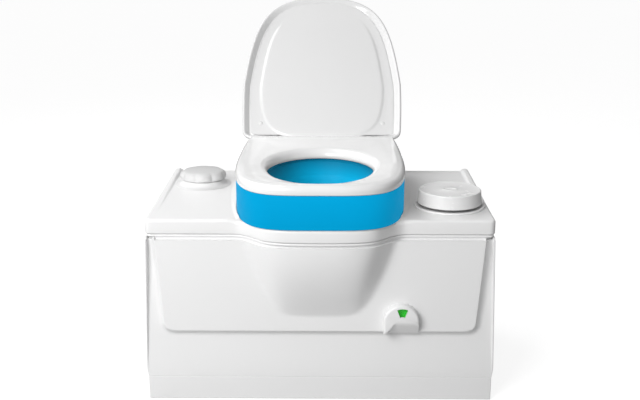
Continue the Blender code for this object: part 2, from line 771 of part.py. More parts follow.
def make_knob():
    low = BENCH_TOP + 0.0046
    ceiling = KNOB_TOP - THIN_WALL
    wall_inside = KNOB_RADIUS - THIN_WALL
    bore = SHAFT_RADIUS + GAP
    rings = [
        (bore, KNOB_TOP - 0.006),
        (bore, low + 0.006),
        (bore + 0.004, low + 0.006),
        (bore + 0.004, ceiling),
        (KNOB_TOP_RADIUS - THIN_WALL, ceiling),
        (wall_inside, low),
        (KNOB_RADIUS, low),
        (KNOB_RADIUS - 0.001, low + 0.010),
        (KNOB_TOP_RADIUS + 0.003, KNOB_TOP - 0.004),
        (KNOB_TOP_RADIUS, KNOB_TOP - 0.001),
        (KNOB_TOP_RADIUS - 0.004, KNOB_TOP),
    ]
    turned("control_knob", KNOB, "Z", rings, white_plastic(), (*KNOB, BENCH_TOP), sides=36)


def make_knob_ring():
    outer, inner = KNOB_RING_RADIUS, KNOB_RADIUS + 0.0008
    low, high = BENCH_TOP + GAP, BENCH_TOP + 0.007
    profile = [(outer, low), (outer, high - 0.001), (outer - 0.001, high), (inner, high), (inner, low)]
    turned("knob_base_ring", KNOB, "Z", profile, white_plastic(), closed=True, sides=36)


def make_knob_shaft():
    profile = [(SHAFT_RADIUS, GEAR_LOW - 0.006), (SHAFT_RADIUS, KNOB_TOP - 0.0105)]
    turned("knob_shaft", KNOB, "Z", profile, steel(), (*KNOB, GEAR_LOW), sides=SMALL_SIDES)


def gear_outline(centre, teeth, first_tooth):
    """Straight-flanked teeth, thinner than half a pitch so that a pair runs with backlash."""
    radius = GEAR_MODULE * teeth / 2
    pitch = 2 * pi / teeth
    corners = ((-1.0, -0.30), (0.8, -0.11), (0.8, 0.11), (-1.0, 0.30))
    points = []
    for tooth in range(teeth):
        for height, side in corners:
            angle = first_tooth + (tooth + side) * pitch
            reach = radius + height * GEAR_MODULE
            points.append((centre[0] + reach * cos(angle), centre[1] + reach * sin(angle)))
    return points


def make_gear(name, centre, teeth, first_tooth):
    origin = (*centre, GEAR_LOW)
    outline = gear_outline(centre, teeth, first_tooth)
    gear = prism(name, outline, "Z", GEAR_LOW, GEAR_HIGH, grey_plastic(), origin)
    low, high = GEAR_LOW - CUT_MARGIN, GEAR_HIGH + CUT_MARGIN
    round_hole(gear, f"{name}_bore", centre, "Z", SHAFT_RADIUS + GAP, low, high, origin, SMALL_SIDES)


def make_gears():
    make_gear("knob_gear", KNOB, KNOB_TEETH, pi + pi / KNOB_TEETH)
    make_gear("drive_gear", DRIVE, DRIVE_TEETH, 0)


def make_drive_shaft():
    origin = (*DRIVE, GEAR_LOW)
    profile = [(SHAFT_RADIUS, HUB_TOP + 0.0015), (SHAFT_RADIUS, BRACKET_LOW + 0.010)]
    shaft = turned("drive_shaft", DRIVE, "Z", profile, steel(), origin, sides=SMALL_SIDES)
    low = (DRIVE[0] - TONGUE[0] / 2, DRIVE[1] - TONGUE[1] / 2, TONGUE_LOW)
    high = (DRIVE[0] + TONGUE[0] / 2, DRIVE[1] + TONGUE[1] / 2, HUB_TOP + 0.004)
    join(shaft, box("drive_tongue", low, high, steel(), origin))


def make_gear_bracket():
    low = (DRIVE[0] - 0.030, DRIVE[1] - 0.030, BRACKET_LOW)
    high = (BENCH_WIDTH / 2 - 0.002, DRIVE[1] + 0.030, BRACKET_LOW + 0.004)
    bracket = box("gear_bracket", low, high, grey_plastic())
    span = (BRACKET_LOW - CUT_MARGIN, BRACKET_LOW + CUT_MARGIN)
    for name, centre in (("bracket_knob_hole", KNOB), ("bracket_drive_hole", DRIVE)):
        round_hole(bracket, name, centre, "Z", SHAFT_RADIUS + GAP, *span, sides=SMALL_SIDES)


def make_flush_switch():
    """The button that the knob pushes down on, with its plunger on top."""
    centre = (KNOB[0] + 0.035, KNOB[1])
    body, plunger = 0.009, 0.003
    shoulder = BENCH_TOP + 0.016
    profile = [(body, BENCH_TOP + GAP), (body, shoulder)]
    profile += [(plunger, shoulder), (plunger, BENCH_TOP + 0.0275)]
    turned("flush_switch", centre, "Z", profile, grey_plastic(), sides=SMALL_SIDES)


# Level indicator


def hood_outline(inset):
    radius = HOOD_RADIUS - inset
    low = HOOD_LOW + inset
    crown = arc(HOOD, radius, 0, pi, 12)
    return [(HOOD[0] + radius, low), *crown, (HOOD[0] - radius, low)]


def window_outline(inset):
    top = arc((WINDOW_X, WINDOW_TOP - 0.028), 0.028 - inset, radians(66), radians(114), 4)
    low_half = 0.0065 - inset
    low = WINDOW_LOW + inset
    return [(WINDOW_X + low_half, low), *top, (WINDOW_X - low_half, low)]


def make_indicator():
    front = HOOD_BACK - HOOD_DEPTH
    rings = [
        placed(hood_outline(THIN_WALL), "Y", front + THIN_WALL),
        placed(hood_outline(THIN_WALL), "Y", HOOD_BACK),
        placed(hood_outline(0), "Y", HOOD_BACK),
        placed(hood_outline(0), "Y", front + 0.005),
        placed(hood_outline(0.0015), "Y", front + 0.0015),
        placed(hood_outline(0.005), "Y", front),
    ]
    hood = loft("indicator_hood", rings, white_plastic())
    span = (front - CUT_MARGIN, front + THIN_WALL * 2)
    cut(hood, prism("window_opening", window_outline(0), "Y", *span, grey_plastic()))
    lens_back = front + THIN_WALL
    prism("indicator_window", window_outline(GAP), "Y", front + 0.0005, lens_back, clear_plastic())
    origin = (HOOD[0], HOOD_BACK, HOOD[1])
    flag_front = lens_back + 0.001
    profile = [(FLAG_RADIUS, flag_front), (FLAG_RADIUS, flag_front + 0.002), (0.004, flag_front + 0.002)]
    profile += [(0.004, HOOD_BACK - GAP)]
    turned("level_flag", HOOD, "Y", profile, green_plastic(), origin)


# Cassette


def make_cassette_base():
    outline = [
        (CASSETTE_FRONT, NOTCH_TOP),
        (NOTCH_BACK, NOTCH_TOP),
        (NOTCH_BACK, CASSETTE_BOTTOM),
        (CASSETTE_BACK, CASSETTE_BOTTOM),
        (CASSETTE_BACK, CASSETTE_SPLIT),
        (CASSETTE_FRONT, CASSETTE_SPLIT),
    ]
    half = CASSETTE_HALF_WIDTH
    base = prism("cassette_base", outline, "X", -half, half, tank_plastic())
    inside = offset(outline, THIN_WALL)
    inside[4] = (inside[4][0], CASSETTE_SPLIT + CUT_MARGIN)
    inside[5] = (inside[5][0], CASSETTE_SPLIT + CUT_MARGIN)
    reach = half - THIN_WALL
    cut(base, prism("cassette_base_inside", inside, "X", -reach, reach, tank_plastic()))
    for side, sign in (("right", 1), ("left", -1)):
        add_axle_ear(base, side, sign)


def add_axle_ear(base, side, sign):
    """An ear in the front notch that carries the axle."""
    low, high = sorted((sign * 0.150, sign * 0.157))
    y, z = WHEEL_CENTRE
    outline = [(NOTCH_BACK + 0.001, z - 0.009), (NOTCH_BACK + 0.001, NOTCH_TOP + 0.001)]
    outline += [(y - 0.009, NOTCH_TOP + 0.001), (y - 0.009, z - 0.009)]
    join(base, prism(f"axle_ear_{side}", outline, "X", low, high, tank_plastic()))
    bore = AXLE_RADIUS + GAP
    name = f"axle_ear_{side}_bore"
    round_hole(base, name, WHEEL_CENTRE, "X", bore, low - GAP, high + GAP, sides=SMALL_SIDES)


def make_cassette_cover():
    half = CASSETTE_HALF_WIDTH
    low = (-half, CASSETTE_FRONT, CASSETTE_SPLIT + GAP)
    cover = box("cassette_cover", low, (half, CASSETTE_BACK, CASSETTE_TOP), tank_plastic())
    inside_low = (-half + THIN_WALL, CASSETTE_FRONT + THIN_WALL, CASSETTE_SPLIT - CUT_MARGIN)
    inside_high = (half - THIN_WALL, CASSETTE_BACK - THIN_WALL, CASSETTE_TOP - THIN_WALL)
    cut(cover, box("cassette_cover_inside", inside_low, inside_high, tank_plastic()))
    low, high = CASSETTE_TOP - CUT_MARGIN, CASSETTE_TOP + CUT_MARGIN
    round_hole(cover, "cover_inlet", OUTLET, "Z", OUTLET_RADIUS + 0.006, low, high)
    round_hole(cover, "cover_spout_hole", SPOUT, "Z", SPOUT_RADIUS - THIN_WALL, low, high)
    round_hole(cover, "cover_vent_hole", VENT, "Z", 0.006, low, high, sides=SMALL_SIDES)
    for side, sign in (("right", 1), ("left", -1)):
        add_handle_guide(cover, side, sign)
        add_carry_lug(cover, side, sign)
    add_float_bracket(cover)


def add_handle_guide(cover, side, sign):
    edges = sorted((sign * (CASSETTE_HALF_WIDTH - 0.001), sign * (PULL_X + 0.0075)))
    outline = rectangle((edges[0], PULL_Z - 0.007), (edges[1], PULL_Z + 0.007))
    join(cover, prism(f"handle_guide_{side}", outline, "Y", 0.100, 0.125, tank_plastic()))
    centre = (sign * PULL_X, PULL_Z)
    name = f"handle_guide_{side}_bore"
    round_hole(cover, name, centre, "Y", PULL_RADIUS + GAP, 0.099, 0.126, sides=SMALL_SIDES)


def add_carry_lug(cover, side, sign):
    low, high = sorted((sign * (CARRY_HALF_WIDTH + 0.010), sign * (CARRY_HALF_WIDTH + 0.020)))
    y, z = CARRY_PIVOT
    outline = rectangle((CASSETTE_BACK - 0.001, z - 0.0075), (y + 0.0075, z + 0.0075))
    join(cover, prism(f"carry_lug_{side}", outline, "X", low, high, tank_plastic()))
    name = f"carry_lug_{side}_bore"
    round_hole(cover, name, CARRY_PIVOT, "X", 0.0043, low - GAP, high + GAP, sides=SMALL_SIDES)


def add_float_bracket(cover):
    y, z = FLOAT_PIVOT
    outline = rectangle((y - 0.006, z - 0.006), (y + 0.006, CASSETTE_TOP - 0.001))
    low = FLOAT_X + 0.006
    join(cover, prism("float_bracket", outline, "X", low, low + 0.006, tank_plastic()))
    bore = 0.003 + GAP
    high = low + 0.006 + GAP
    round_hole(cover, "float_bracket_bore", FLOAT_PIVOT, "X", bore, low - GAP, high, sides=SMALL_SIDES)


def make_valve():
    low = CASSETTE_TOP + GAP
    plate = box("valve_plate", (-0.075, -0.125, low), (0.195, 0.115, VALVE_PLATE_TOP), grey_plastic())
    margin = (low - CUT_MARGIN, low + CUT_MARGIN)
    round_hole(plate, "valve_plate_inlet", OUTLET, "Z", OUTLET_RADIUS + 0.006, *margin)
    pin = [(0.004, low + 0.001), (0.004, BLADE_HIGH + 0.004)]
    join(plate, turned("gate_pin", DRIVE, "Z", pin, grey_plastic(), sides=SMALL_SIDES))
    outer, inner = OUTLET_RADIUS + 0.0055, OUTLET_RADIUS
    profile = [(outer, CASSETTE_TOP - 0.006), (outer, VALVE_PLATE_TOP), (inner, VALVE_PLATE_TOP)]
    profile += [(inner, CASSETTE_TOP - 0.006)]
    turned("lip_seal", OUTLET, "Z", profile, rubber(), closed=True)


def blade_outline():
    arm = Vector((DRIVE[0] - OUTLET[0], DRIVE[1] - OUTLET[1]))
    heading = arm.angle_signed(Vector((1, 0)))
    disc = arc(OUTLET, BLADE_RADIUS, heading + radians(50), heading + radians(310), 20)
    eye = arc(DRIVE, HUB_RADIUS, heading - pi / 2, heading + pi / 2, 8)
    return disc + eye


def make_valve_blade():
    origin = (*DRIVE, BLADE_LOW)
    blade = prism("valve_blade", blade_outline(), "Z", BLADE_LOW, BLADE_HIGH, grey_plastic(), origin)
    low, high = BLADE_LOW - CUT_MARGIN, BLADE_HIGH + CUT_MARGIN
    round_hole(blade, "valve_blade_bore", DRIVE, "Z", 0.0045, low, high, origin, SMALL_SIDES)


def make_gate_hub():
    origin = (*DRIVE, BLADE_LOW)
    low = BLADE_HIGH + GAP
    profile = [(HUB_RADIUS, low), (HUB_RADIUS, HUB_TOP)]
    hub = turned("gate_hub", DRIVE, "Z", profile, grey_plastic(), origin, sides=20)
    span = (low - CUT_MARGIN, BLADE_HIGH + 0.0045)
    round_hole(hub, "gate_hub_bore", DRIVE, "Z", 0.0045, *span, origin, SMALL_SIDES)
    slot_half = TONGUE[0] / 2 + 0.0006
    slot_low = (DRIVE[0] - slot_half, DRIVE[1] - HUB_RADIUS * 2, TONGUE_LOW - 0.0006)
    slot_high = (DRIVE[0] + slot_half, DRIVE[1] + HUB_RADIUS * 2, HUB_TOP + CUT_MARGIN)
    cut(hub, box("gate_hub_slot", slot_low, slot_high, grey_plastic(), origin))


def make_float():
    origin = (0, *FLOAT_PIVOT)
    reach = (FLOAT_PIVOT[0] - FLOAT_ARM * cos(FLOAT_DROP), FLOAT_PIVOT[1] - FLOAT_ARM * sin(FLOAT_DROP))
    stub = Vector((FLOAT_X + 0.013, *FLOAT_PIVOT))
    elbow = Vector((FLOAT_X, *FLOAT_PIVOT))
    rod("float_arm", [stub, elbow, Vector((FLOAT_X, *reach))], 0.003, steel(), origin)
    half = 0.030
    start = FLOAT_X - half
    steps = 6
    gap_to_arm = 0.0033
    profile = []
    for i in range(steps + 1):
        angle = pi * i / steps
        profile.append((gap_to_arm + FLOAT_RADIUS * sin(angle), start + half - half * cos(angle)))
    centre = (reach[0] - 0.018, reach[1] - 0.018)
    turned("float_ball", centre, "X", profile, white_plastic(), origin, sides=16)


def make_pour_spout():
    bend_centre = (SPOUT[0] - SPOUT_BEND, CASSETTE_TOP + GAP)
    path = arc(bend_centre, SPOUT_BEND, 0, pi / 2, 5) + [(SPOUT_END, bend_centre[1] + SPOUT_BEND)]
    headings = [pi * i / 10 for i in range(6)] + [pi / 2]
    outer, inner = [], []
    for (x, z), heading in zip(path, headings):
        for radius, rings in ((SPOUT_RADIUS, outer), (SPOUT_RADIUS - THIN_WALL, inner)):
            ring = []
            for i in range(SPOUT_SIDES):
                angle = 2 * pi * i / SPOUT_SIDES
                out, side = radius * cos(angle), radius * sin(angle)
                ring.append(Vector((x + out * cos(heading), SPOUT[1] + side, z + out * sin(heading))))
            rings.append(ring)
    loft("pour_spout", outer + inner[::-1], tank_plastic(), (*SPOUT, CASSETTE_TOP), closed=True)


def make_spout_cap():
    centre = (SPOUT[1], CASSETTE_TOP + GAP + SPOUT_BEND)
    origin = (SPOUT_END, *centre)
    skirt_inside = SPOUT_RADIUS + GAP
    outer = skirt_inside + THIN_WALL
    profile = [
        (skirt_inside, SPOUT_END - GAP),
        (skirt_inside, SPOUT_END + 0.014),
        (outer, SPOUT_END + 0.014),
        (outer, SPOUT_END - 0.003),
        (outer - 0.002, SPOUT_END - 0.005),
    ]
    turned("spout_cap", centre, "X", profile, grey_plastic(), origin)
    seal_outer = SPOUT_RADIUS - THIN_WALL - GAP * 2
    seal = [(seal_outer, SPOUT_END), (seal_outer, SPOUT_END + 0.004)]
    seal += [(seal_outer - 0.005, SPOUT_END + 0.004), (seal_outer - 0.005, SPOUT_END)]
    turned("spout_seal", centre, "X", seal, rubber(), origin, closed=True)


def make_vent_button():
    low = CASSETTE_TOP
    profile = [(0.0055, low - 0.008), (0.0055, low + 0.004), (0.009, low + 0.004), (0.009, low + 0.009)]
    turned("vent_button", VENT, "Z", profile, grey_plastic(), (*VENT, low), sides=16)


def make_wheels():
    origin = (0, *WHEEL_CENTRE)
    bore = AXLE_RADIUS + GAP
    for side, sign in (("right", 1), ("left", -1)):
        low, high = sign * WHEEL_X[0], sign * WHEEL_X[1]
        soften = sign * 0.002
        profile = [
            (bore, low),
            (WHEEL_RADIUS - 0.002, low),
            (WHEEL_RADIUS, low + soften),
            (WHEEL_RADIUS, high - soften),
            (WHEEL_RADIUS - 0.002, high),
            (bore, high),
        ]
        turned(f"wheel_{side}", WHEEL_CENTRE, "X", profile, rubber(), origin, closed=True)
    half = WHEEL_X[1] + 0.0015
    axle = [(AXLE_RADIUS, -half), (AXLE_RADIUS, half)]
    turned("wheel_axle", WHEEL_CENTRE, "X", axle, steel(), sides=SMALL_SIDES)


def make_carry_handle():
    """A bail that hangs down against the back of the cassette."""
    y, z = CARRY_PIVOT
    half, bend = CARRY_HALF_WIDTH, 0.014
    low = z - CARRY_DROP
    right = [(half + 0.019, z), (half + 0.004, z), (half, z - 0.004)]
    right += arc((half - bend, low + bend), bend, 0, -pi / 2, 4)
    outline = right + [(-x, height) for x, height in reversed(right)]
    points = [(x, y, height) for x, height in outline]
    rod("carry_handle", points, 0.004, grey_plastic(), (0, y, z))


def make_pull_handle():
    bend = 0.012
    start, end = PULL_Y
    right = [(PULL_X, start), (PULL_X, start / 2)] + arc((PULL_X - bend, end - bend), bend, 0, pi / 2, 4)
    outline = right + [(-x, y) for x, y in reversed(right)]
    rod("pull_handle", [(x, y, PULL_Z) for x, y in outline], PULL_RADIUS, grey_plastic(), (0, 0, PULL_Z))


def clear_scene():
    for old in list(bpy.data.objects):
        bpy.data.objects.remove(old, do_unlink=True)


def make_toilet():
    casing = (make_bench_top, make_edge_trim, make_front_panel, make_plinth, make_side_panels)
    seat_group = (make_rear_panel, make_base_tray, make_seat_riser, make_seat, make_lid, make_hinges)
    bowl_group = (make_bumpers, make_bowl, make_bowl_seal, make_flush_nozzle, make_flush_tank)
    filling = (make_flush_pump, make_flush_hose, make_filler_neck, make_filler_cap, make_cap_seal)
    control = (make_knob, make_knob_ring, make_knob_shaft, make_gears, make_drive_shaft)
    level = (make_gear_bracket, make_flush_switch, make_indicator)
    cassette = (make_cassette_base, make_cassette_cover, make_valve, make_valve_blade, make_gate_hub)
    fittings = (make_float, make_pour_spout, make_spout_cap, make_vent_button, make_wheels)
    handles = (make_carry_handle, make_pull_handle)
    groups = casing, seat_group, bowl_group, filling, control, level, cassette, fittings, handles
    for make in [make for group in groups for make in group]:
        make()


clear_scene()
make_toilet()
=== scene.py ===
"""Looks of the bench-type cassette toilet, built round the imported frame.

Metres, +Z up, the front faces -Y. Outlines and sizes are the object's own: most are the same as in its
CAD, and the skins made here refine the rest inside the CAD's box.
"""

from math import cos, pi, radians, sin

import bmesh
import bpy
import numpy as np
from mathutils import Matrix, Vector


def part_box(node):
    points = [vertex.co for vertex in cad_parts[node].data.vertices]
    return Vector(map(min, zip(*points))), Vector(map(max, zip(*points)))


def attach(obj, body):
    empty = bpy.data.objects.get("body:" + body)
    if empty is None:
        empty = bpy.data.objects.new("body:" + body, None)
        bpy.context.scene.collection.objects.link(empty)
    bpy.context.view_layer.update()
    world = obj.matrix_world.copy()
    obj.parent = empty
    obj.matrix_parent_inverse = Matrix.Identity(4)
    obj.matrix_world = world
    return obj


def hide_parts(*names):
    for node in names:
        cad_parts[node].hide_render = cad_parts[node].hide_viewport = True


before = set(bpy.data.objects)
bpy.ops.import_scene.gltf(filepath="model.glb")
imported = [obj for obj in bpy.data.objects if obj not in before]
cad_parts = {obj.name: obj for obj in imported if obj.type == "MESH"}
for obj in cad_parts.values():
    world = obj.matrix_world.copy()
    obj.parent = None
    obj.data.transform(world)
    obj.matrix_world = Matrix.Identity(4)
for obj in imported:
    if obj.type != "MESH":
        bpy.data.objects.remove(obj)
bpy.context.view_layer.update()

# Bench casing
GAP = 0.0003
WALL = 0.004
BENCH_HALF_WIDTH = 0.3556
BENCH_HALF_DEPTH = 0.21
BENCH_TOP = 0.3974
TOP_PLATE = 0.0077
LEDGE_TOP = 0.3937
LEDGE_WIDTH = 0.016
APRON_LOW = 0.3668
TRIM_LOW = 0.3601
TRIM_INSET = 0.002
TRIM_ROUND = 0.0028
NOSE_REACH = 0.0605
NOSE_HALF_WIDTH = 0.172
CORNER_ROUND = 0.012
TOP_ROUND = 0.006
APRON_ROUND = 0.0025
COLLAR_HALF_WIDTH = 0.201
COLLAR_SHOULDER = (0.82, 0.86, 0.024)
COLLAR_HEIGHT = 0.004
COLLAR_MARGIN = 0.0135
LEDGE_SLOPE = 0.0012
LIP_HEIGHT = 0.0062
LIP_FOOT = 0.019
LIP_START = -0.17
LIP_LENGTH = 0.38
SHAFT_HOLE = 0.0063
NECK_HOLE = 0.028

# Insets of the rings over the bench top, from the riser, from its collar and from the sides
BENCH_CENTRE = (0, -0.02)
RISER_STATIONS = (LEDGE_WIDTH, 0.002, -0.0004, -0.0008, -0.0012, -0.0018, -0.0026, -0.004, -0.007)
COLLAR_STATIONS = (0.008, 0.005, 0.0025, 0.0008, -0.0002, -0.0014, -0.004)
SIDE_STATIONS = (0.0215, 0.0192, 0.0178, 0.0162, 0.0145, 0.013, 0.0115, 0.01, 0.0085, 0.0075, TOP_ROUND)
STATION_STEP = 0.0001

# Front panel
PANEL_FRONT = -BENCH_HALF_DEPTH
PANEL_TOP = TRIM_LOW - GAP
PANEL_LOW_HALF_WIDTH = 0.36498
PANEL_WIDEST_Z = 0.07
PLINTH_TOP = 0.052
PLINTH_HALF_WIDTH = 0.362
FIELD_TOP_HALF_WIDTH = 0.336
FIELD_LOW_HALF_WIDTH = 0.321
FIELD_LOW = 0.158
FIELD_RAISE = 0.006
FIELD_FLANK = 0.018
FIELD_CREASE = 0.0004
PANEL_RECESS = 0.004
UPPER_RECESS = 0.008
PANEL_ROUND = 0.0012
RIM_WIDTH = 0.0026
RIM_SLOPE = 0.0015
FIELD_CORNER = 0.018
GROOVE_DEPTH = 0.0055
GROOVE_HEIGHT = 0.0045
GROOVE_SLOPE = 0.0008
BULGE_LOW = 0.165
BULGE_LOW_HALF_WIDTH = 0.1
BULGE_EASE = 0.14
BULGE_POWER = 1.9

# Seat group; the egg is the outline that riser, seat and lid share
EGG_WIDEST_Y = 0.01
EGG_BACK_HALF_WIDTH = 0.14
EGG_STEPS = (48, 14, 20, 12)
SEAT_HALF_WIDTH = 0.179
SEAT_FRONT = -0.272
SEAT_BACK = 0.184
SEAT_SHOULDER = (0.63, 1.05, -0.012)
HOLE_HALF_WIDTH = 0.112
HOLE_FRONT = -0.231
HOLE_BACK = 0.045
HOLE_CENTRE = -0.085
RISER_BOTTOM = LEDGE_TOP + GAP
RISER_TOP = RISER_BOTTOM + 0.07
RISER_ROUND = 0.0015
FUNNEL_RIM = 0.015
SEAT_TOP = 0.489
SEAT_DIP = 0.0045
DIP_START = -0.09
DIP_LENGTH = 0.1
SEAT_CROWN = 0.0006
SEAT_LOW_ROUND = 0.0025
SHOULDER_WIDTH = 0.0115
SHOULDER_HEIGHT = 0.016
SEAT_LIP_DEPTH = 0.022
LID_HALF_WIDTH = 0.198
LID_FRONT = -0.276
LID_BACK = 0.178
LID_SHOULDER = (0.765, 0.904, 0.084)
LID_BOTTOM = 0.4915
LID_TOP = 0.505
LID_FLANK = 0.017
LID_DISH = 0.012
LID_OPEN = radians(136)
LID_CENTRE = (0, -0.04)
PLATEAU_RAISE = 0.0028
PLATEAU_FLANK = 0.009
HINGE = Vector((0, 0.192, 0.476))

# Profiles of the seat group, as (inset, drop) pairs
FUNNEL_WALL = (
    (-0.0115, 0.0008), (-0.0113, 0.003), (-0.0112, 0.008), (-0.0106, 0.014), (-0.009, 0.021),
    (-0.0062, 0.029), (-0.0022, 0.039), (0.003, 0.054), (0.006, 0.068), (0.0078, 0.0815),
)
SEAT_LIP = (
    (-0.0115, 0.0049), (-0.0085, 0.0062), (-0.0058, 0.0081), (-0.0034, 0.0107),
    (-0.0016, 0.0139), (-0.0006, 0.017), (-0.0003, 0.0195), (-0.0008, 0.0215),
)
LID_CREASE = (
    (0.003, 0.0), (0.0018, -0.0008), (0.0006, -0.0013),
    (-0.0004, -0.001), (-0.0014, 0.0002), (-0.003, 0.0018),
)
LID_WALL = ((0.0105, 0.0066), (0.0072, 0.01), (0.0058, 0.0113), (0.0046, 0.0119), (0.0035, 0.012))
LID_RIM = ((0.0022, 0.0117), (0.001, 0.0109), (0.0003, 0.0097), (0, 0.008))
LID_EDGE = ((0, 0.0075), (0.0008, 0.0045), (0.003, 0.0026), (0.006, 0.0014))

# Profile of the lid's pads, as (radius, drop) pairs
PAD_PROFILE = ((0.005, -0.001), (0.005, 0.0002), (0.0046, 0.0008), (0.0036, 0.0013), (0.0018, 0.0016))

# Knob and the plain oval on its top, whose (reach, rise) pairs give its relief
KNOB = (0.274, -0.098)
KNOB_RADIUS = 0.068
KNOB_TOP = 0.4335
KNOB_TOP_RADIUS = 0.0658
KNOB_FOOT = BENCH_TOP + 0.0078
KNOB_ROUND = 0.0028
KNOB_OVAL = (
    (0.0178, 0.0), (0.017, 0.0002), (0.0164, 0.0007), (0.0158, 0.0009), (0.0132, 0.0009),
    (0.0126, 0.0007), (0.012, 0.0001), (0.0112, -0.0001), (0.002, -0.0001),
)
KNOB_OVAL_NARROWER = 0.0062
RING_RADII = (0.0748, 0.069, 0.0655)
RING_ROUND = 0.0014

# Filler neck, as (radius, rise) and (radius, drop) pairs
FILLER = (-0.272, 0.08)
NECK_LOW = 0.3353
NECK_TOP = 0.411
NECK_COLLAR = 0.031
NECK_TUBE = 0.027
NECK_BORE = 0.024
NECK_CONE = (
    (0.064, 0), (0.064, 0.0004), (0.059, 0.0011), (0.055, 0.0024), (0.0522, 0.0043), (0.05, 0.0072),
)
NECK_MOUTH = (
    (0.048, 0.0025), (0.0462, 0.0012), (0.0436, 0.0012), (0.043, 0.0003), (0.042, 0),
    (0.025, 0), (0.024, 0.001),
)

# Filler cap: its wall (inset, valleys' depth, rise, wave), shoulder (inset, valleys' depth, drop)
# and crown (radius, drop)
CAP_TOP = 0.432
CAP_RADIUS = 0.053
CAP_INSIDE = 0.044
CAP_PLUG = 0.0175
CAP_LOBES = 8
CAP_TURN = 0.9
CAP_SIDES = 192
CAP_WALL = (
    (0.0012, 0.0035, 0.0012, 0.0014), (0.0004, 0.0042, 0.002, 0.0014),
    (0.0, 0.0046, 0.0036, 0.001), (0.0004, 0.0048, 0.009, 0.0),
)
CAP_SHOULDER = (
    (0.0018, 0.0048, 0.009), (0.0036, 0.0042, 0.0062), (0.0066, 0.0032, 0.0042),
    (0.011, 0.002, 0.0029), (0.016, 0.0009, 0.0021),
)
CAP_CROWN = ((0.027, 0.0013), (0.018, 0.0006), (0.009, 0.0002), (0.002, 0.0001))

# Level indicator, with places as (x, z)
HOOD = (0.168, 0.186)
HOOD_RADIUS = 0.036
HOOD_LOW = 0.1555
HOOD_TIP_LIFT = 0.0042
HOOD_LIFT = 0.0265
HOOD_BACK = PANEL_FRONT - FIELD_RAISE - GAP
HOOD_DEPTH = 0.018
HOOD_ROUND = 0.0045
WINDOW = (0.17, 0.215)
WINDOW_RADII = (0.028, 0.0105)
LENS_ROUND = 0.0004
FLAG_RADIUS = 0.024
FLAG_HUB = 0.004
FLAG_SPACE = 0.003

# Softened edges of the pieces that keep their CAD shape
WIDE_EDGE = 0.0015
FINE_EDGE = 0.0004

# Stage: powers in watts, and the world's light as (axis, start, strength there, strength at its end)
CAMERA_PLACE = (0.0195, -2.0204, 0.9496)
CAMERA_DOWN = 0.2746
CAMERA_TURN = 0.0104
FOCAL_LENGTH = 52.89
FLOOR_SIZE = 30
FLOOR_GLOW = 0.82
KEY_POWER = 49
TOP_POWER = 11
STRIP_POWER = 1
RISER_GLOW = 22
STRIP_PLACE = (1.9, -0.9, 1.1)
STRIP_TARGET = (0.1, -0.1, 0.35)
WORLD_FADES = (("X", -1, 0.6, 0.24), ("Z", 0, 1.2, 0.6))


# Outlines, as lists of (x, y)


def mix(low, high, share):
    """The value this share of the way from low to high."""
    return low + (high - low) * share


def bezier(start, start_pull, end_pull, end, steps):
    """Points on a cubic curve, without its last one."""
    points = []
    for i in range(steps):
        t = i / steps
        weights = ((1 - t) ** 3, 3 * t * (1 - t) ** 2, 3 * t * t * (1 - t), t**3)
        controls = (start, start_pull, end_pull, end)
        points.append(tuple(sum(w * c[k] for w, c in zip(weights, controls)) for k in (0, 1)))
    return points


def straight(start, end, steps):
    """Evenly spaced points on a line, without its last one."""
    return [tuple(mix(a, b, i / steps) for a, b in zip(start, end)) for i in range(steps)]


def arc(centre, radius, start, end, steps):
    """Points of a plane arc, both ends included."""
    angles = [mix(start, end, i / steps) for i in range(steps + 1)]
    return [(centre[0] + radius * cos(a), centre[1] + radius * sin(a)) for a in angles]


def circle(centre, radius, sides):
    """Points round a whole circle."""
    return arc(centre, radius, 0, 2 * pi, sides)[:-1]


def mirrored(right_half):
    """A closed outline from its right half, which starts and ends on the middle line."""
    return right_half + [(-x, y) for x, y in reversed(right_half[1:-1])]


def offset(outline, inset):
    """The outline moved inwards, with mitred corners. It runs anticlockwise."""
    here = np.array(outline, float)
    edges = np.roll(here, -1, axis=0) - here
    edges /= np.linalg.norm(edges, axis=1)[:, None]
    normals = np.stack((-edges[:, 1], edges[:, 0]), axis=1)
    before = np.roll(normals, 1, axis=0)
    share = inset / (1 + (normals * before).sum(axis=1))
    return [tuple(p) for p in here + (normals + before) * share[:, None]]


def blend(first, second, share):
    """An outline between two others of as many points."""
    return [tuple(mix(a, b, share) for a, b in zip(p, q)) for p, q in zip(first, second)]


def rounded(nose, side, corner, end):
    """A closed outline through its front, its widest point, its back corner and the start of its back.

    Each of the first three comes with the two controls of the curve that leaves it.
    """
    right = []
    for curve, target, steps in zip((nose, side, corner), (side[0], corner[0], end), EGG_STEPS):
        right += bezier(*curve, target, steps)
    back = (0, end[1])
    return mirrored(right + straight(end, back, EGG_STEPS[-1]) + [back])


def egg(front, back, half_width, shoulder=SEAT_SHOULDER):
    """The rounded outline of the riser, seat and lid: full at the front, straight at the back."""
    pull, second_pull, drop = shoulder
    nose = ((0, front), (pull * half_width, front), (second_pull * half_width, front + drop))
    side = ((half_width, EGG_WIDEST_Y), (half_width, 0.06), (half_width * 0.992, back - 0.075))
    turn = (half_width * 0.975, back - 0.026)
    corner = (turn, (half_width * 0.966, back - 0.009), (half_width * 0.93, back))
    return rounded(nose, side, corner, (EGG_BACK_HALF_WIDTH, back))


def oval(front, back, half_width, centre):
    """An oval with as many points as an egg, each in nearly the same direction."""
    points = []
    for x, y in egg(SEAT_FRONT, SEAT_BACK, SEAT_HALF_WIDTH):
        direction = Vector((x, y - centre)).normalized()
        reach = (centre - front) if direction.y < 0 else (back - centre)
        scale = 1 / ((direction.x / half_width) ** 2 + (direction.y / reach) ** 2) ** 0.5
        points.append((direction.x * scale, centre + direction.y * scale))
    return points


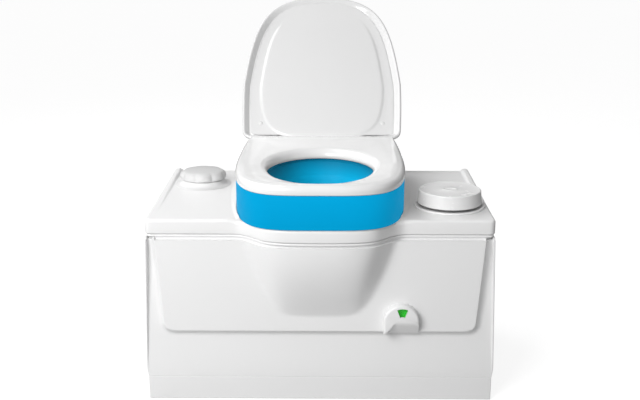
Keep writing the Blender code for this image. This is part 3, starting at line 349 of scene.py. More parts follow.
def nose_curve():
    """The right half of the bench's nose, from the middle to where it meets the straight front."""
    front = PANEL_FRONT - NOSE_REACH
    shoulder = (0.122, PANEL_FRONT - 0.036)
    foot = (NOSE_HALF_WIDTH, PANEL_FRONT)
    curve = bezier((0, front), (0.08, front), (0.104, PANEL_FRONT - 0.054), shoulder, 26)
    return curve + bezier(shoulder, (0.142, PANEL_FRONT - 0.016), (0.156, PANEL_FRONT - 0.002), foot, 16)


def bench_outline():
    """The bench from above: a nose at the front and rounded corners."""
    side, back = BENCH_HALF_WIDTH, BENCH_HALF_DEPTH
    turn = CORNER_ROUND
    right = nose_curve()
    right += straight((NOSE_HALF_WIDTH, PANEL_FRONT), (side - turn, PANEL_FRONT), 24)
    right += arc((side - turn, PANEL_FRONT + turn), turn, -pi / 2, 0, 8)[:-1]
    right += straight((side, PANEL_FRONT + turn), (side, back - turn), 40)
    right += arc((side - turn, back - turn), turn, 0, pi / 2, 8)[:-1]
    right += straight((side - turn, back), (0, back), 34) + [(0, back)]
    return mirrored(right)


def segments(outline):
    """A closed outline's points, and the way from each to the next."""
    ring = np.array(outline, float)
    return ring, np.roll(ring, -1, axis=0) - ring


def distance_outside(outline, points):
    """How far each point lies outside a closed outline; negative inside it."""
    ring, edges = segments(outline)
    away = points[:, None, :] - ring[None]
    along = np.clip((away * edges).sum(axis=2) / (edges**2).sum(axis=1), 0, 1)
    distance = np.linalg.norm(away - along[..., None] * edges, axis=2).min(axis=1)
    above = ring[:, 1] > points[:, None, 1]
    crossing = above != (ring[:, 1] + edges[:, 1] > points[:, None, 1])
    with np.errstate(divide="ignore", invalid="ignore"):
        meets = ring[:, 0] + (points[:, None, 1] - ring[:, 1]) / edges[:, 1] * edges[:, 0]
    inside = (crossing & (points[:, None, 0] < meets)).sum(axis=1) % 2 == 1
    return np.where(inside, -distance, distance)


def reach_along(outline, centre, directions):
    """Distance from the centre to the outline in each direction."""
    ring, edges = segments(outline)
    start = ring - centre
    cross = directions[:, None, 0] * edges[:, 1] - directions[:, None, 1] * edges[:, 0]
    with np.errstate(divide="ignore", invalid="ignore"):
        reach = (start[:, 0] * edges[:, 1] - start[:, 1] * edges[:, 0]) / cross
        share = (start[:, 0] * directions[:, None, 1] - start[:, 1] * directions[:, None, 0]) / cross
    meets = (share >= -1e-6) & (share <= 1 + 1e-6) & (reach > 0)
    return np.where(meets, reach, np.inf).min(axis=1)


def rays(outline, centre):
    """The centre, and the direction from it to each point of the outline."""
    centre = np.array(centre)
    away = np.array(outline) - centre
    return centre, away / np.linalg.norm(away, axis=1)[:, None]


def inset_by_rays(outline, inset, centre):
    """A deep inset whose points keep their direction from the centre, so that tight corners don't fold."""
    centre, directions = rays(outline, centre)
    reach = reach_along(offset(outline, inset), centre, directions)
    return [tuple(p) for p in centre + directions * reach[:, None]]


def smooth(t):
    """From 0 to 1 without a crease at either end."""
    t = np.clip(t, 0, 1)
    return t * t * (3 - 2 * t)


def quarter(radius, steps=6):
    """(inset, rise) pairs of a rounded edge, from the side up to the flat."""
    angles = [pi / 2 * i / steps for i in range(steps + 1)]
    return [(radius * (1 - cos(a)), radius * sin(a)) for a in angles]


def low_edge(radius, low, steps=6, inset=0):
    """(inset, height) pairs round a lower edge, from underneath it up to the side."""
    return [(inset + i, low + radius - rise) for i, rise in reversed(quarter(radius, steps))]


def top_edge(radius, top, steps=6, inset=0):
    """(inset, height) pairs round an upper edge, from the side up to its top."""
    return [(inset + i, top - radius + rise) for i, rise in quarter(radius, steps)]


def placed(outline, height, axis="Z"):
    """A flat outline as 3D points, at this height along the axis."""
    if axis == "Y":
        return [Vector((a, height, b)) for a, b in outline]
    return [Vector((a, b, height)) for a, b in outline]


def stacked(outline, levels):
    """Rings inside a flat outline, from (inset, height) pairs."""
    return [placed(offset(outline, inset), height) for inset, height in levels]


# Materials


def shader_material(name):
    """A new material, its node tree and its shader."""
    made = bpy.data.materials.new(name)
    made.use_nodes = True
    return made, made.node_tree, made.node_tree.nodes["Principled BSDF"]


def preset(node, **values):
    """Fixed values for a node's sockets, whose names are written with _ for a space."""
    for name, value in values.items():
        node.inputs[name.replace("_", " ")].default_value = value


def noise(tree, scale):
    """A noise over the object's own space."""
    place = tree.nodes.new("ShaderNodeTexCoord")
    texture = tree.nodes.new("ShaderNodeTexNoise")
    preset(texture, Scale=scale, Detail=3)
    tree.links.new(place.outputs["Object"], texture.inputs["Vector"])
    return texture.outputs["Fac"]


def axes(tree, space):
    """The X, Y and Z of a texture space."""
    place = tree.nodes.new("ShaderNodeTexCoord")
    split = tree.nodes.new("ShaderNodeSeparateXYZ")
    tree.links.new(place.outputs[space], split.inputs[0])
    return split.outputs


def remapped(tree, value, source, target, kind="LINEAR"):
    """The value's source range mapped to the target range."""
    node = tree.nodes.new("ShaderNodeMapRange")
    node.interpolation_type = kind
    preset(node, From_Min=source[0], From_Max=source[1], To_Min=target[0], To_Max=target[1])
    tree.links.new(value, node.inputs["Value"])
    return node.outputs["Result"]


def two_tone(tree, factor, first, second):
    """The first colour where the factor is 0, the second where it is 1."""
    node = tree.nodes.new("ShaderNodeMix")
    node.data_type = "RGBA"
    node.inputs[6].default_value = (*first, 1)
    node.inputs[7].default_value = (*second, 1)
    tree.links.new(factor, node.inputs[0])
    return node.outputs[2]


def surface(tree, shader, tone, gloss_scale, gloss):
    """The shader's colour, and a roughness that wanders between two values."""
    tree.links.new(tone, shader.inputs["Base Color"])
    roughness = remapped(tree, noise(tree, gloss_scale), (0.3, 0.7), gloss)
    tree.links.new(roughness, shader.inputs["Roughness"])


def bump(tree, shader, height, strength, distance):
    """A fine relief on the shader's surface."""
    node = tree.nodes.new("ShaderNodeBump")
    preset(node, Strength=strength, Distance=distance)
    tree.links.new(height, node.inputs["Height"])
    tree.links.new(node.outputs["Normal"], shader.inputs["Normal"])


def moulded(name, colour, roughness, tint=0.006, grain=0.02, coat=0.0, grain_scale=900, gleam=0.5):
    """Moulded plastic: faint cloudiness in its colour and gloss, and a fine skin."""
    made, tree, shader = shader_material(name)
    darker = [max(0, c * (1 - tint)) for c in colour]
    lighter = [min(1, c * (1 + tint)) for c in colour]
    tone = two_tone(tree, noise(tree, 9), darker, lighter)
    surface(tree, shader, tone, 34, (roughness * 0.93, roughness * 1.07))
    preset(shader, Specular_IOR_Level=gleam, Coat_Weight=coat, Coat_Roughness=0.08)
    bump(tree, shader, noise(tree, grain_scale), grain, 0.0002)
    return made


def build_materials():
    """Every finish by its plain name."""
    return {
        "shell": moulded("shell_white", (0.86, 0.86, 0.86), 0.3),
        "seat": moulded("seat_gloss_white", (0.85, 0.85, 0.85), 0.2, coat=0.4),
        "riser": moulded("riser_blue", (0.0, 0.335, 0.64), 0.55, 0.02, gleam=0.03),
        # The funnel's blue carries painted shade towards its top.
        "funnel": funnel_blue_painted_shade(),
        "knob": moulded("knob_white", (0.86, 0.86, 0.86), 0.26, coat=0.2),
        "cap": moulded("cap_white", (0.72, 0.72, 0.72), 0.36, gleam=0.3),
        "rubber": moulded("black_rubber", (0.025, 0.025, 0.026), 0.72, 0.2, 0.12, grain_scale=600),
        "tread": moulded("wheel_rubber", (0.05, 0.05, 0.052), 0.65, 0.2, 0.2, grain_scale=400),
        "mechanism": moulded("acetal_grey", (0.3, 0.31, 0.32), 0.42, 0.05, 0.06),
        "hose": moulded("hose_grey", (0.2, 0.21, 0.22), 0.55, 0.06, 0.06),
        "tank": moulded("tank_grey", (0.58, 0.6, 0.62), 0.48, 0.03, 0.25, grain_scale=350),
        "trim": moulded("trim_grey", (0.15, 0.16, 0.17), 0.5, 0.06, 0.3, grain_scale=500),
        "foam": moulded("float_foam", (0.78, 0.75, 0.66), 0.85, 0.05, 0.6, grain_scale=250),
        "steel": brushed_steel(),
        "flag": flag_print(),
        "clear": clear_lens(),
    }


def funnel_blue_painted_shade():
    """The riser's funnel, with painted shade: a deeper blue under the seat's edge, paler down the throat."""
    made, tree, shader = shader_material("funnel_blue_painted_shade")
    height = axes(tree, "Object")["Z"]
    # Painted shade: the blue darkens towards the funnel's top, standing in for the seat's shadow there.
    fade = remapped(tree, height, (RISER_TOP - 0.045, RISER_TOP), (0, 1), "SMOOTHSTEP")
    tone = two_tone(tree, fade, (0.0, 0.44, 0.78), (0.0, 0.225, 0.42))
    surface(tree, shader, tone, 34, (0.46, 0.54))
    preset(shader, Specular_IOR_Level=0.1)
    bump(tree, shader, noise(tree, 900), 0.02, 0.0002)
    return made


def brushed_steel():
    """Drawn steel, with fine changes in its tone and gloss."""
    made, tree, shader = shader_material("steel_drawn")
    tone = two_tone(tree, noise(tree, 40), (0.52, 0.52, 0.53), (0.66, 0.66, 0.66))
    surface(tree, shader, tone, 300, (0.22, 0.36))
    preset(shader, Metallic=1)
    bump(tree, shader, noise(tree, 700), 0.05, 0.0001)
    return made


def flag_print():
    """The level flag: green on its upper half at rest, red on its lower half."""
    made, tree, shader = shader_material("flag_print")
    above = tree.nodes.new("ShaderNodeMath")
    above.operation = "GREATER_THAN"
    above.inputs[1].default_value = HOOD[1]
    tree.links.new(axes(tree, "Object")["Z"], above.inputs[0])
    tone = two_tone(tree, above.outputs[0], (0.62, 0.005, 0.005), (0.0, 0.75, 0.003))
    surface(tree, shader, tone, 60, (0.3, 0.42))
    return made


def clear_lens():
    """A nearly invisible lens with a greenish shine."""
    made, tree, shader = shader_material("lens_clear")
    preset(shader, Alpha=0.04, Base_Color=(0.3, 1, 0.3, 1), Specular_IOR_Level=0.2)
    roughness = remapped(tree, noise(tree, 80), (0.3, 0.7), (0.02, 0.06))
    tree.links.new(roughness, shader.inputs["Roughness"])
    return made


# Building pieces


def show(thing):
    """Adds an object to the scene."""
    bpy.context.scene.collection.objects.link(thing)


def link(name, mesh, finish, replaced, body="root"):
    """A piece in the scene, which stands for a CAD node and rides on its body."""
    mesh.materials.append(finish)
    piece = bpy.data.objects.new(name, mesh)
    show(piece)
    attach(piece, body)
    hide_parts(replaced)
    return piece


def skin(name, rings, closed=False, sharp=40, folded=False):
    """A mesh through rings of equally many points: capped at both ends, or closed into a loop.

    A folded ring runs out and back, and its caps are strips of quads.
    """
    shape = bmesh.new()
    rows = [[shape.verts.new(point) for point in ring] for ring in rings]
    count = len(rows[0])
    pairs = list(zip(rows, rows[1:]))
    if closed:
        pairs.append((rows[-1], rows[0]))
    elif folded:
        for row in (rows[0], rows[-1]):
            for i in range(count // 2 - 1):
                shape.faces.new((row[i], row[i + 1], row[-2 - i], row[-1 - i]))
    else:
        shape.faces.new(rows[0])
        shape.faces.new(rows[-1])
    for low, high in pairs:
        for i in range(count):
            j = (i + 1) % count
            shape.faces.new((low[i], low[j], high[j], high[i]))
    bmesh.ops.recalc_face_normals(shape, faces=shape.faces)
    mesh = bpy.data.meshes.new(name)
    shape.to_mesh(mesh)
    shape.free()
    shade(mesh, sharp)
    return mesh


def shade(mesh, sharp=40):
    """Smooth, except at edges sharper than this many degrees."""
    mesh.shade_smooth()
    mesh.set_sharp_from_angle(angle=radians(sharp))


def turned(name, centre, profile, sides=96, closed=False, axis="Z"):
    """A round mesh about the axis, from (radius, height) pairs."""
    rings = [placed(circle(centre, radius, sides), height, axis) for radius, height in profile]
    return skin(name, rings, closed)


def cut(mesh, *cutters, solver="EXACT"):
    """The mesh with these closed meshes taken out of it."""
    for cutter in cutters:
        piece, tool = (bpy.data.objects.new("cut_work", m) for m in (mesh, cutter))
        for work in (piece, tool):
            show(work)
        modifier = piece.modifiers.new("cut", "BOOLEAN")
        modifier.object = tool
        modifier.operation = "DIFFERENCE"
        modifier.solver = solver
        solved = piece.evaluated_get(bpy.context.evaluated_depsgraph_get())
        mesh = bpy.data.meshes.new_from_object(solved)
        for work in (piece, tool):
            bpy.data.objects.remove(work)
    shade(mesh)
    return mesh


# Bench casing


RISER_OUTLINE = egg(SEAT_FRONT, SEAT_BACK, SEAT_HALF_WIDTH)
HOLE_OUTLINE = oval(HOLE_FRONT, HOLE_BACK, HOLE_HALF_WIDTH, HOLE_CENTRE)
COLLAR_ENDS = (SEAT_FRONT - COLLAR_MARGIN, SEAT_BACK + COLLAR_MARGIN)
COLLAR_OUTLINE = egg(*COLLAR_ENDS, COLLAR_HALF_WIDTH, COLLAR_SHOULDER)
BENCH_OUTLINE = bench_outline()


def lip_height(points):
    """The lips along the sides of the bench top, which rise and widen towards the back."""
    x, y = points.T
    from_side = BENCH_HALF_WIDTH - abs(x)
    rising = smooth((y - LIP_START) / LIP_LENGTH)
    slope = 0.003 + 0.004 * rising
    return LIP_HEIGHT * rising * (1 - smooth((from_side - LIP_FOOT + slope) / slope))


def top_height(points):
    """Height of the bench top: a ledge under the riser, a sloping collar round it, lips at the sides."""
    outside = distance_outside(RISER_OUTLINE, points)
    from_collar = np.clip(-distance_outside(COLLAR_OUTLINE, points), 0, None)
    collar = COLLAR_HEIGHT * from_collar / (from_collar + np.clip(outside, 0, None) + 0.001)
    above = BENCH_TOP + collar + lip_height(points)
    room = np.clip(outside, 0, None) - distance_outside(BENCH_OUTLINE, points)
    rise = smooth((outside - 0.0005) / LEDGE_SLOPE) * smooth((room - 0.007) / 0.022)
    return mix(LEDGE_TOP, above, rise)


def spaced(stations):
    """Stations at least a small step apart; the outermost one stays where it is."""
    for i in range(len(stations) - 2):
        stations[i + 1] = np.maximum(stations[i + 1], stations[i] + STATION_STEP)
    for i in reversed(range(len(stations) - 1)):
        stations[i] = np.minimum(stations[i], stations[i + 1] - STATION_STEP)
    return stations


def bench_stations():
    """Rings over the bench top, from the riser's opening out to where the edge starts to round."""
    centre, directions = rays(BENCH_OUTLINE, BENCH_CENTRE)

    def reaches(outline, insets):
        """Distance from the centre to each inset of the outline."""
        return [reach_along(offset(outline, inset), centre, directions) for inset in insets]

    inner = reaches(RISER_OUTLINE, RISER_STATIONS)
    collar = reaches(COLLAR_OUTLINE, COLLAR_STATIONS)
    side = reaches(BENCH_OUTLINE, SIDE_STATIONS)
    between = [mix(collar[-1], side[0], i / 9) for i in range(1, 9)]
    stations = spaced(inner + collar + between + side)
    return [centre + directions * station[:, None] for station in stations]


def bench_top_rings():
    """Over the top, round its edge, down the apron and back up inside."""
    rings = [np.column_stack((points, top_height(points))) for points in bench_stations()]
    crest = rings[-1][:, 2]
    for inset, rise in reversed(quarter(TOP_ROUND)[:-1]):
        points = np.array(offset(BENCH_OUTLINE, inset))
        rings.append(np.column_stack((points, crest - TOP_ROUND + rise)))
    under = BENCH_TOP - TOP_PLATE
    apron = low_edge(APRON_ROUND, APRON_LOW, 4)[::-1]
    rings += stacked(BENCH_OUTLINE, apron + [(WALL, APRON_LOW), (WALL, under)])
    rings.append(placed(rings[0][:, :2], under))
    return rings


def make_bench_top(finish):
    """The bench top, with holes for the knob's shaft and the filler neck."""
    mesh = skin("bench_top_shell", bench_top_rings(), closed=True)
    low, high = BENCH_TOP - TOP_PLATE - 0.01, BENCH_TOP + 0.01
    shaft_hole = turned("hole", KNOB, [(SHAFT_HOLE, low), (SHAFT_HOLE, high)], 32)
    neck_hole = turned("hole", FILLER, [(NECK_HOLE, low), (NECK_HOLE, high)], 64)
    mesh = cut(mesh, shaft_hole, neck_hole)
    link("bench_top_shell", mesh, finish, "bench_top")


def make_edge_trim(finish):
    """The rounded bead under the apron."""
    low, high = TRIM_LOW, APRON_LOW - GAP * 3
    levels = [(TRIM_INSET + WALL, low)] + low_edge(TRIM_ROUND, low, inset=TRIM_INSET)
    levels += top_edge(TRIM_ROUND, high, inset=TRIM_INSET) + [(TRIM_INSET + WALL, high)]
    mesh = skin("edge_trim_bead", stacked(BENCH_OUTLINE, levels), closed=True)
    link("edge_trim_bead", mesh, finish, "edge_trim")


# Front panel


def panel_half_width(z):
    """Half the panel's width at this height: widest near its foot."""
    top_share = (z - PANEL_WIDEST_Z) / (PANEL_TOP - PANEL_WIDEST_Z)
    if top_share > 0:
        return mix(PANEL_LOW_HALF_WIDTH, BENCH_HALF_WIDTH, top_share)
    low_share = (z - PLINTH_TOP) / (PANEL_WIDEST_Z - PLINTH_TOP)
    return mix(PLINTH_HALF_WIDTH, PANEL_LOW_HALF_WIDTH, low_share)


def field_half_width(z):
    """Half the raised field's width at this height."""
    share = (z - FIELD_LOW) / (PANEL_TOP - FIELD_LOW)
    return mix(FIELD_LOW_HALF_WIDTH, FIELD_TOP_HALF_WIDTH, share)


def field_outline():
    """The raised field, open upwards, with rounded lower corners."""
    top = PANEL_TOP + 0.1
    turn = FIELD_CORNER
    low_corner = (field_half_width(FIELD_LOW + turn) - turn, FIELD_LOW + turn)
    right = straight((0, FIELD_LOW), (low_corner[0], FIELD_LOW), 4)
    right += arc(low_corner, turn, -pi / 2, 0, 12) + [(field_half_width(top), top), (0, top)]
    return mirrored(right)


def nose_reach_at(shares):
    """How far the nose stands out, as a share, for these shares of its half width."""
    curve = nose_curve() + [(NOSE_HALF_WIDTH, PANEL_FRONT)]
    across = [x / NOSE_HALF_WIDTH for x, _ in curve]
    out = [(PANEL_FRONT - y) / NOSE_REACH for _, y in curve]
    return np.interp(shares, across, out)


def bulge(points):
    """How far the housing of the bowl stands out of the front panel."""
    x, z = points.T
    share = np.clip((z - BULGE_LOW) / (PANEL_TOP - BULGE_LOW), 0, 1)
    half_width = mix(BULGE_LOW_HALF_WIDTH, NOSE_HALF_WIDTH, share)
    eased = share - BULGE_EASE * (1 - np.exp(-share / BULGE_EASE))
    full = 1 - BULGE_EASE * (1 - np.exp(-1 / BULGE_EASE))
    reach = (NOSE_REACH - TRIM_INSET) * (1 - (1 - eased / full) ** BULGE_POWER)
    return reach * nose_reach_at(abs(x) / half_width)


def recess(points):
    """How far the panel is set back beside its field: not at the plinth, most of all at the top."""
    x, z = points.T
    half_width = np.array([panel_half_width(height) for height in z])
    depth = PANEL_RECESS * smooth((z - PLINTH_TOP) / 0.09)
    depth += UPPER_RECESS * smooth((z - 0.12) / 0.22)
    return depth * smooth((half_width - abs(x) - RIM_WIDTH) / RIM_SLOPE)


def panel_depth(points):
    """How far the front stands out of the panel's plane at these (x, z)."""
    z = points[:, 1]
    outside = distance_outside(field_outline(), points)
    flank = FIELD_FLANK + 0.008 * smooth((z - 0.3) / 0.05)
    share = np.clip(1 - outside / flank, 0, 1) ** 3
    raised = share * FIELD_RAISE - recess(points) * (1 - share)
    raised -= FIELD_CREASE * smooth(1 + outside / 0.0015) * (outside <= 0)
    housing = bulge(points)
    proud = raised + np.clip(housing - np.maximum(raised, 0), 0, None)
    groove = GROOVE_DEPTH + FIELD_RAISE * (1 - smooth(housing / 0.012)) * (outside <= 0)
    return proud - groove * smooth(1 - (PANEL_TOP - z - GROOVE_HEIGHT) / GROOVE_SLOPE)


def panel_rows():
    """Heights up the panel: fine at the field's lower flank and at the groove under the trim."""
    low = PLINTH_TOP + GAP
    rows = [low, low + 0.0008, low + 0.002]
    rows += [mix(low, FIELD_LOW - FIELD_FLANK, i / 12) for i in range(1, 12)]
    rows += [FIELD_LOW - FIELD_FLANK + 0.0013 * i for i in range(32)]
    start = rows[-1]
    rows += [mix(start, PANEL_TOP - 0.006, i / 44) for i in range(1, 44)]
    rows += [PANEL_TOP - 0.0058]
    rows += [PANEL_TOP - GROOVE_HEIGHT - GROOVE_SLOPE + GROOVE_SLOPE / 4 * i for i in range(5)]
    return rows + [PANEL_TOP - 0.001, PANEL_TOP]


def panel_row(z):
    """x across the panel at this height: fine at the field's flank and at the rim."""
    field, edge = field_half_width(z), panel_half_width(z)
    right = [field * i / 44 for i in range(43)]
    right += [field - short for short in (0.006, 0.004, 0.0025, 0.0012, 0.0004)]
    right += [field + FIELD_FLANK * i / 10 for i in range(11)]
    right = [min(x, edge - 0.009) for x in right]
    right += [edge - 0.0085 + 0.0085 * sin(pi / 2 * i / 14) for i in range(15)]
    return [-x for x in reversed(right[1:])] + right


def make_front_panel(finish):
    """The front panel: each ring runs across its face and back along its inner side."""
    rings = []
    for z in panel_rows():
        across = panel_row(z)
        points = np.array([(x, z) for x in across])
        rounding = (abs(points[:, 0]) - panel_half_width(z)) / PANEL_ROUND + 1
        rounded_off = PANEL_ROUND * (1 - np.sqrt(1 - np.clip(rounding, 0, 1) ** 2))
        depth = panel_depth(points) - rounded_off
        front = [Vector((x, PANEL_FRONT - out, z)) for x, out in zip(across, depth)]
        inner = [Vector((x, PANEL_FRONT + WALL - out, z)) for x, out in zip(across, depth)]
        rings.append(front + inner[::-1])
    mesh = skin("front_panel_face", rings, sharp=60, folded=True)
    link("front_panel_face", mesh, finish, "front_panel")


# Riser and seat


def link_riser(name, rings, finish):
    """A piece of the riser, whose blue doesn't tint the white pieces round it."""
    riser = link(name, skin(name, rings, closed=True), finish, "seat_riser")
    riser.visible_diffuse = False
    riser.visible_glossy = False


def make_riser_collar(finish):
    """The wall between bench and seat, with a flat top as far as the funnel's rim."""
    under = RISER_TOP - WALL
    side = low_edge(RISER_ROUND, RISER_BOTTOM, 3) + top_edge(RISER_ROUND, RISER_TOP, 4)
    rings = stacked(RISER_OUTLINE, side)
    rings += stacked(HOLE_OUTLINE, [(-FUNNEL_RIM - 0.0005, RISER_TOP), (-FUNNEL_RIM - 0.0005, under)])
    rings += stacked(RISER_OUTLINE, [(WALL, under), (WALL, RISER_BOTTOM)])
    link_riser("seat_riser_collar", rings, finish)


def make_riser_funnel(finish):
    """The funnel inside the riser, which leads down into the bowl."""
    under = RISER_TOP - WALL
    levels = [(-FUNNEL_RIM, RISER_TOP), (-0.012, RISER_TOP)]
    levels += [(inset, RISER_TOP - drop) for inset, drop in FUNNEL_WALL]
    levels += [(0.005, RISER_BOTTOM - 0.012), (-0.008, under - WALL), (-FUNNEL_RIM, under)]
    link_riser("seat_riser_funnel", stacked(HOLE_OUTLINE, levels), finish)


def dipped(ring, depth):
    """A ring of the seat, lower at the front of the hole."""
    shares = [float(smooth((DIP_START - point.y) / DIP_LENGTH)) for point in ring]
    return [point - Vector((0, 0, depth * share)) for point, share in zip(ring, shares)]


def seat_side(outer, low):
    """Up the seat's outer side and over its shoulder."""
    rings = stacked(outer, low_edge(SEAT_LOW_ROUND, low, 4))
    for inset, rise in quarter(1, 12):
        height = SEAT_TOP - SEAT_CROWN - SHOULDER_HEIGHT * (1 - rise)
        ring = placed(offset(outer, inset * SHOULDER_WIDTH), height)
        rings.append(dipped(ring, SEAT_DIP * rise))
    return rings


def seat_face(outer):
    """Across the seat's top, which falls towards the hole, and down the hole's lip."""
    start, end = offset(outer, SHOULDER_WIDTH), offset(HOLE_OUTLINE, -0.014)
    rings = []
    for i in range(1, 17):
        share = i / 16
        fall = 0.0045 * smooth((share - 0.28) / 0.9) - SEAT_CROWN * smooth(share * 6)
        rings.append(dipped(placed(blend(start, end, share), SEAT_TOP - fall), SEAT_DIP))
    for inset, drop in SEAT_LIP:
        ring = placed(offset(HOLE_OUTLINE, inset), SEAT_TOP - drop)
        rings.append(dipped(ring, SEAT_DIP * (1 - drop / SEAT_LIP_DEPTH)))
    return rings


def make_seat(finish):
    """The seat, with a shallow channel in its underside."""
    outer = egg(SEAT_FRONT - 0.0009, SEAT_BACK, SEAT_HALF_WIDTH + 0.001)
    low = RISER_TOP + GAP * 2
    channel = low + 0.0021
    rings = seat_side(outer, low) + seat_face(outer)
    rings += stacked(HOLE_OUTLINE, [(-0.003, low), (-0.007, low), (-0.0085, channel)])
    rings += stacked(outer, [(0.0085, channel), (0.007, low)])
    link("seat_ring", skin("seat_ring", rings, closed=True), finish, "seat", "seat")


# Lid, modelled as it lies when closed and then opened


def plateau_outline():
    """The raised middle inside the lid, with as many points as the egg and wide lower corners."""
    half, front, back = LID_HALF_WIDTH - 0.049, LID_FRONT + 0.034, LID_BACK - 0.022
    nose = ((0, front), (half * 0.76, front), (half * 0.9, front + 0.084))
    side = ((half, EGG_WIDEST_Y), (half, 0.05), (half * 0.985, back - 0.088))
    turn = (half * 0.93, back - 0.055)
    corner = (turn, (half * 0.84, back - 0.013), (half * 0.68, back - 0.001))
    return rounded(nose, side, corner, (half * 0.45, back))


def faded(outline, floor, raised):
    """A ring of the lid's plateau, which runs out towards the lid's front end."""
    ring = []
    for x, y in outline:
        share = float(smooth((y - LID_FRONT - 0.05) / 0.11))
        ring.append(Vector((x, y, floor - raised * share)))
    return ring


def shallower(ring):
    """The dish of the lid runs out towards its front end."""
    points = []
    for x, y, z in ring:
        share = 0.2 + 0.8 * float(smooth((y - LID_FRONT) / 0.09))
        points.append(Vector((x, y, LID_BOTTOM + (z - LID_BOTTOM) * share)))
    return points


def shrunk(outline):
    """A small copy of the outline, which closes the middle of the lid's skin."""
    return [(x * 0.05, y * 0.05 - 0.05) for x, y in outline]


def plateau_rings(floor):
    """From the plateau's middle out to its foot."""
    plateau = plateau_outline()
    shares = (0, 0.3, 0.5, 0.7, 0.85, 0.96)
    rings = [faded(blend(shrunk(plateau), plateau, share), floor, PLATEAU_RAISE) for share in shares]
    for i in range(7):
        share = i / 6
        raised = PLATEAU_RAISE * (1 - smooth(share))
        rings.append(faded(offset(plateau, -PLATEAU_FLANK * share), floor, raised))
    return rings


def lid_inside(outer, floor):
    """Over the plateau and the dish's floor, through the crease round it and up its flank."""
    foot, edge = offset(outer, LID_FLANK), offset(plateau_outline(), -PLATEAU_FLANK)
    rings = plateau_rings(floor)
    rings += [placed(blend(edge, foot, share), floor) for share in (0.35, 0.7, 0.9)]
    rings += stacked(outer, [(LID_FLANK + beyond, floor - drop) for beyond, drop in LID_CREASE])
    rings += stacked(outer, [(inset, floor - drop) for inset, drop in LID_WALL])
    return [shallower(ring) for ring in rings]


def lid_outside(outer, floor):
    """Over the rim, round the lid's edge and in to the middle of its outer side."""
    rings = stacked(outer, [(inset, floor - drop) for inset, drop in LID_RIM])
    rings += stacked(outer, [(inset, LID_TOP - drop) for inset, drop in LID_EDGE])
    for inset, drop in ((0.014, 0.0007), (0.03, 0.0002)):
        rings.append(placed(inset_by_rays(outer, inset, LID_CENTRE), LID_TOP - drop))
    last = inset_by_rays(outer, 0.05, LID_CENTRE)
    rings += [placed(blend(last, shrunk(last), share), LID_TOP) for share in (0, 0.5, 1)]
    return rings


def turned_on_hinge(point, angle):
    """The point turned about the lid's hinge line."""
    x, y, z = point - HINGE
    return HINGE + Vector((x, y * cos(angle) - z * sin(angle), y * sin(angle) + z * cos(angle)))


def opened(rings):
    """The closed lid's rings as they stand when it is open."""
    return [[turned_on_hinge(point, -LID_OPEN) for point in ring] for ring in rings]


def make_lid(finish):
    """The dished lid, standing open."""
    outer = egg(LID_FRONT, LID_BACK, LID_HALF_WIDTH, LID_SHOULDER)
    floor = LID_BOTTOM + LID_DISH
    rings = lid_inside(outer, floor) + lid_outside(outer, floor)
    link("lid_shell", skin("lid_shell", opened(rings)), finish, "lid", "lid")


def make_lid_pads(finish):
    """Low round pads inside the lid."""
    floor = LID_BOTTOM + LID_DISH
    for side in ("right", "left"):
        low, high = (Vector(corner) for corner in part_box("lid_bumper_" + side))
        centre = turned_on_hinge((low + high) / 2, LID_OPEN).xy
        rings = [placed(circle(centre, radius, 40), floor - drop) for radius, drop in PAD_PROFILE]
        mesh = skin("lid_pad_" + side, opened(rings))
        link("lid_pad_" + side, mesh, finish, "lid_bumper_" + side, "lid")


# Knob


def knob_oval(half_width, half_depth, z, sides=96):
    """An oval ring on the knob's top."""
    angles = [2 * pi * i / sides for i in range(sides)]
    return [Vector((KNOB[0] + half_width * cos(a), KNOB[1] + half_depth * sin(a), z)) for a in angles]


def drum_profile():
    """(radius, height) from the shaft's bore, under the knob and up its tapering side to its rim."""
    low, bore = KNOB_FOOT, SHAFT_HOLE
    profile = [(bore, KNOB_TOP - 0.006), (bore, low + 0.006), (bore + WALL, low + 0.006)]
    profile += [(bore + WALL, KNOB_TOP - WALL), (KNOB_TOP_RADIUS - WALL, KNOB_TOP - WALL)]
    profile += [(KNOB_RADIUS - 0.003, low), (KNOB_RADIUS - 0.0005, low), (KNOB_RADIUS, low + 0.0006)]
    profile += [(KNOB_RADIUS - 0.0003, low + 0.004), (KNOB_RADIUS - 0.0012, low + 0.01)]
    profile += [(KNOB_TOP_RADIUS - inset, z) for inset, z in top_edge(KNOB_ROUND, KNOB_TOP, 7)]
    profile += [(KNOB_TOP_RADIUS - 0.0045, KNOB_TOP - 0.0003), (KNOB_TOP_RADIUS - 0.008, KNOB_TOP - 0.0008)]
    return profile


def make_knob(finish):
    """A drum that tapers upwards, with a shallow recessed top and a plain oval embossed in it."""
    drum = [placed(circle(KNOB, radius, 96), height) for radius, height in drum_profile()]
    top = KNOB_TOP - 0.0011
    drum.append(knob_oval(0.04, 0.034, top))
    for reach, rise in KNOB_OVAL:
        depth = reach - KNOB_OVAL_NARROWER * reach / KNOB_OVAL[0][0]
        drum.append(knob_oval(reach, depth, top + rise))
    link("knob_drum", skin("knob_drum", drum), finish, "control_knob", "control_knob")


def make_knob_ring(finish):
    """A low ring under the knob, with a channel in it below the drum's edge."""
    outer, crest, inner = RING_RADII
    low, high = BENCH_TOP + GAP, BENCH_TOP + 0.0036
    profile = [(inner, low), (outer, low), (outer, low + 0.0006)]
    profile += [(outer - 0.0002 - inset, z) for inset, z in top_edge(RING_ROUND, high, 5)]
    profile += [(crest, high), (crest - 0.0006, low + 0.0008), (inner, low + 0.0008)]
    mesh = turned("knob_ring", (KNOB[0], KNOB[1] - 0.002), profile, closed=True)
    link("knob_ring", mesh, finish, "knob_base_ring")


# Filler neck and cap


